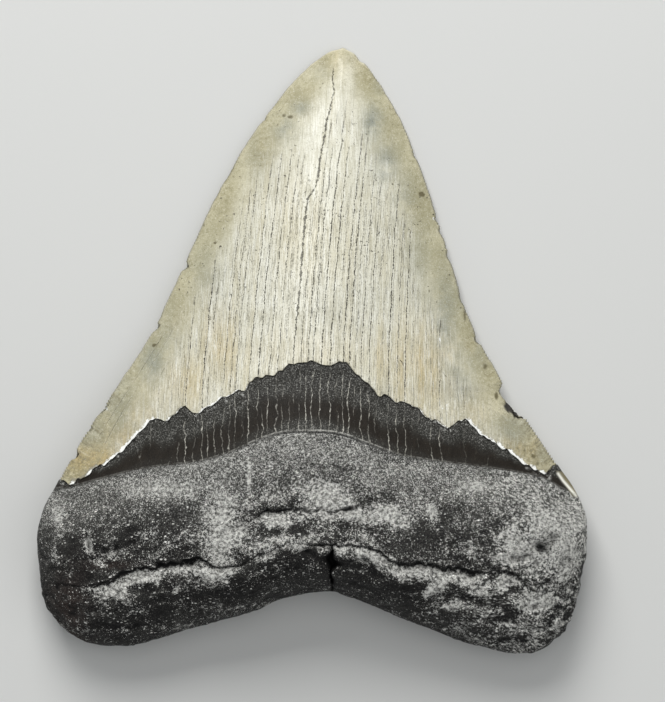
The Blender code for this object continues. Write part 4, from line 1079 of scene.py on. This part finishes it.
    # The broken edge: white crumbs on a grey-brown wall.
    crumbly = cloud(tree, place, 1700, 4, 0.85)
    edge_at = sums(tree, "MULTIPLY_ADD", crumbly, 3.6, sums(tree, "MULTIPLY", named(tree, "above_edge"), 1.1))
    edge_at = sums(tree, "MULTIPLY_ADD", named(tree, "broken_white"), -1.35, edge_at)
    wall = ramp(tree, named(tree, "above_edge"), 0.12, -0.02)
    colour = laid(tree, product(tree, wall, 0.8), colour, laid(tree, fine, rgb(70, 66, 56), rgb(170, 165, 146)))
    colour = laid(tree, ramp(tree, edge_at, 0.70, 0.50), colour, rgb(246, 246, 241))
    whites = ramp(tree, sums(tree, "MULTIPLY_ADD", speckle, 1.4, named(tree, "white")), 1.2, 1.4)
    colour = laid(tree, whites, colour, rgb(240, 240, 234))
    matrix = laid(tree, fine, rgb(10, 9, 8), rgb(70, 66, 58))
    colour = laid(tree, named(tree, "chip"), colour, matrix)
    tree.links.new(colour, shader.inputs["Base Color"])
    tree.links.new(ramp(tree, blotch, 0.3, 0.7, 0.36, 0.5), shader.inputs["Roughness"])
    relief = sums(tree, "MULTIPLY_ADD", streak, 0.2, sums(tree, "MULTIPLY_ADD", silk, 0.1, sums(tree, "MULTIPLY", fine, 0.08)))
    relief = sums(tree, "SUBTRACT", relief, sums(tree, "MULTIPLY_ADD", gaps, 0.6, cracks))
    bump = add(tree, "Bump", {"Height": relief, "Distance": 0.0002, "Strength": 0.7})
    tree.links.new(bump.outputs[0], shader.inputs["Normal"])
    return material


piece.data.materials.append(enamel_finish())
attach(piece, "root")
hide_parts("tooth")

# Floor, light and camera.
# A plain pale floor under the tooth, lit softly from above and from beyond the tip, so that each
# ledge that faces the tip is bright.

FLOOR_SIZE, FLOOR_COLOUR = 3.0, (0.62, 0.62, 0.60, 1)
bpy.ops.mesh.primitive_plane_add(size=FLOOR_SIZE)
floor = bpy.context.object
floor.name = "floor"
paint = bpy.data.materials.new("floor")
paint.use_nodes = True
paint.node_tree.nodes["Principled BSDF"].inputs["Base Color"].default_value = FLOOR_COLOUR
paint.node_tree.nodes["Principled BSDF"].inputs["Roughness"].default_value = 0.9
floor.data.materials.append(paint)

LIGHTS = [    # name, place in metres, size, power; each faces the middle of the tooth
    ("key", (-0.12, 0.62, 0.62), 0.5, 7.0), ("fill", (0.55, -0.35, 0.75), 0.9, 1.6), ("top", (0.0, 0.1, 1.3), 0.8, 3.0),
]
for name, spot, size, power in LIGHTS:
    lamp = bpy.data.lights.new(name, "AREA")
    lamp.size, lamp.energy = size, power
    light = bpy.data.objects.new(name, lamp)
    light.location = spot
    light.rotation_euler = (-light.location).to_track_quat("-Z", "Y").to_euler()
    bpy.context.collection.objects.link(light)

world = bpy.data.worlds.new("room")
world.use_nodes = True
world.node_tree.nodes["Background"].inputs["Color"].default_value = (0.9, 0.95, 1.0, 1)
world.node_tree.nodes["Background"].inputs["Strength"].default_value = 0.25
bpy.context.scene.world = world
bpy.context.scene.view_settings.view_transform = "Standard"

PHOTO_HEIGHT, PIXEL = 702, 0.23 * MM       # frame height in pixels, and size of one at the tooth
CAMERA_CENTRE, CAMERA_HEIGHT = (4.7 * MM, -0.35 * MM), 1.2
camera_data = bpy.data.cameras.new("camera")
camera_data.sensor_fit = "VERTICAL"
camera_data.sensor_height = 24
camera_data.lens = 24 * CAMERA_HEIGHT / (PHOTO_HEIGHT * PIXEL)
camera = bpy.data.objects.new("camera", camera_data)
camera.location = (*CAMERA_CENTRE, CAMERA_HEIGHT)
bpy.context.collection.objects.link(camera)
bpy.context.scene.camera = camera
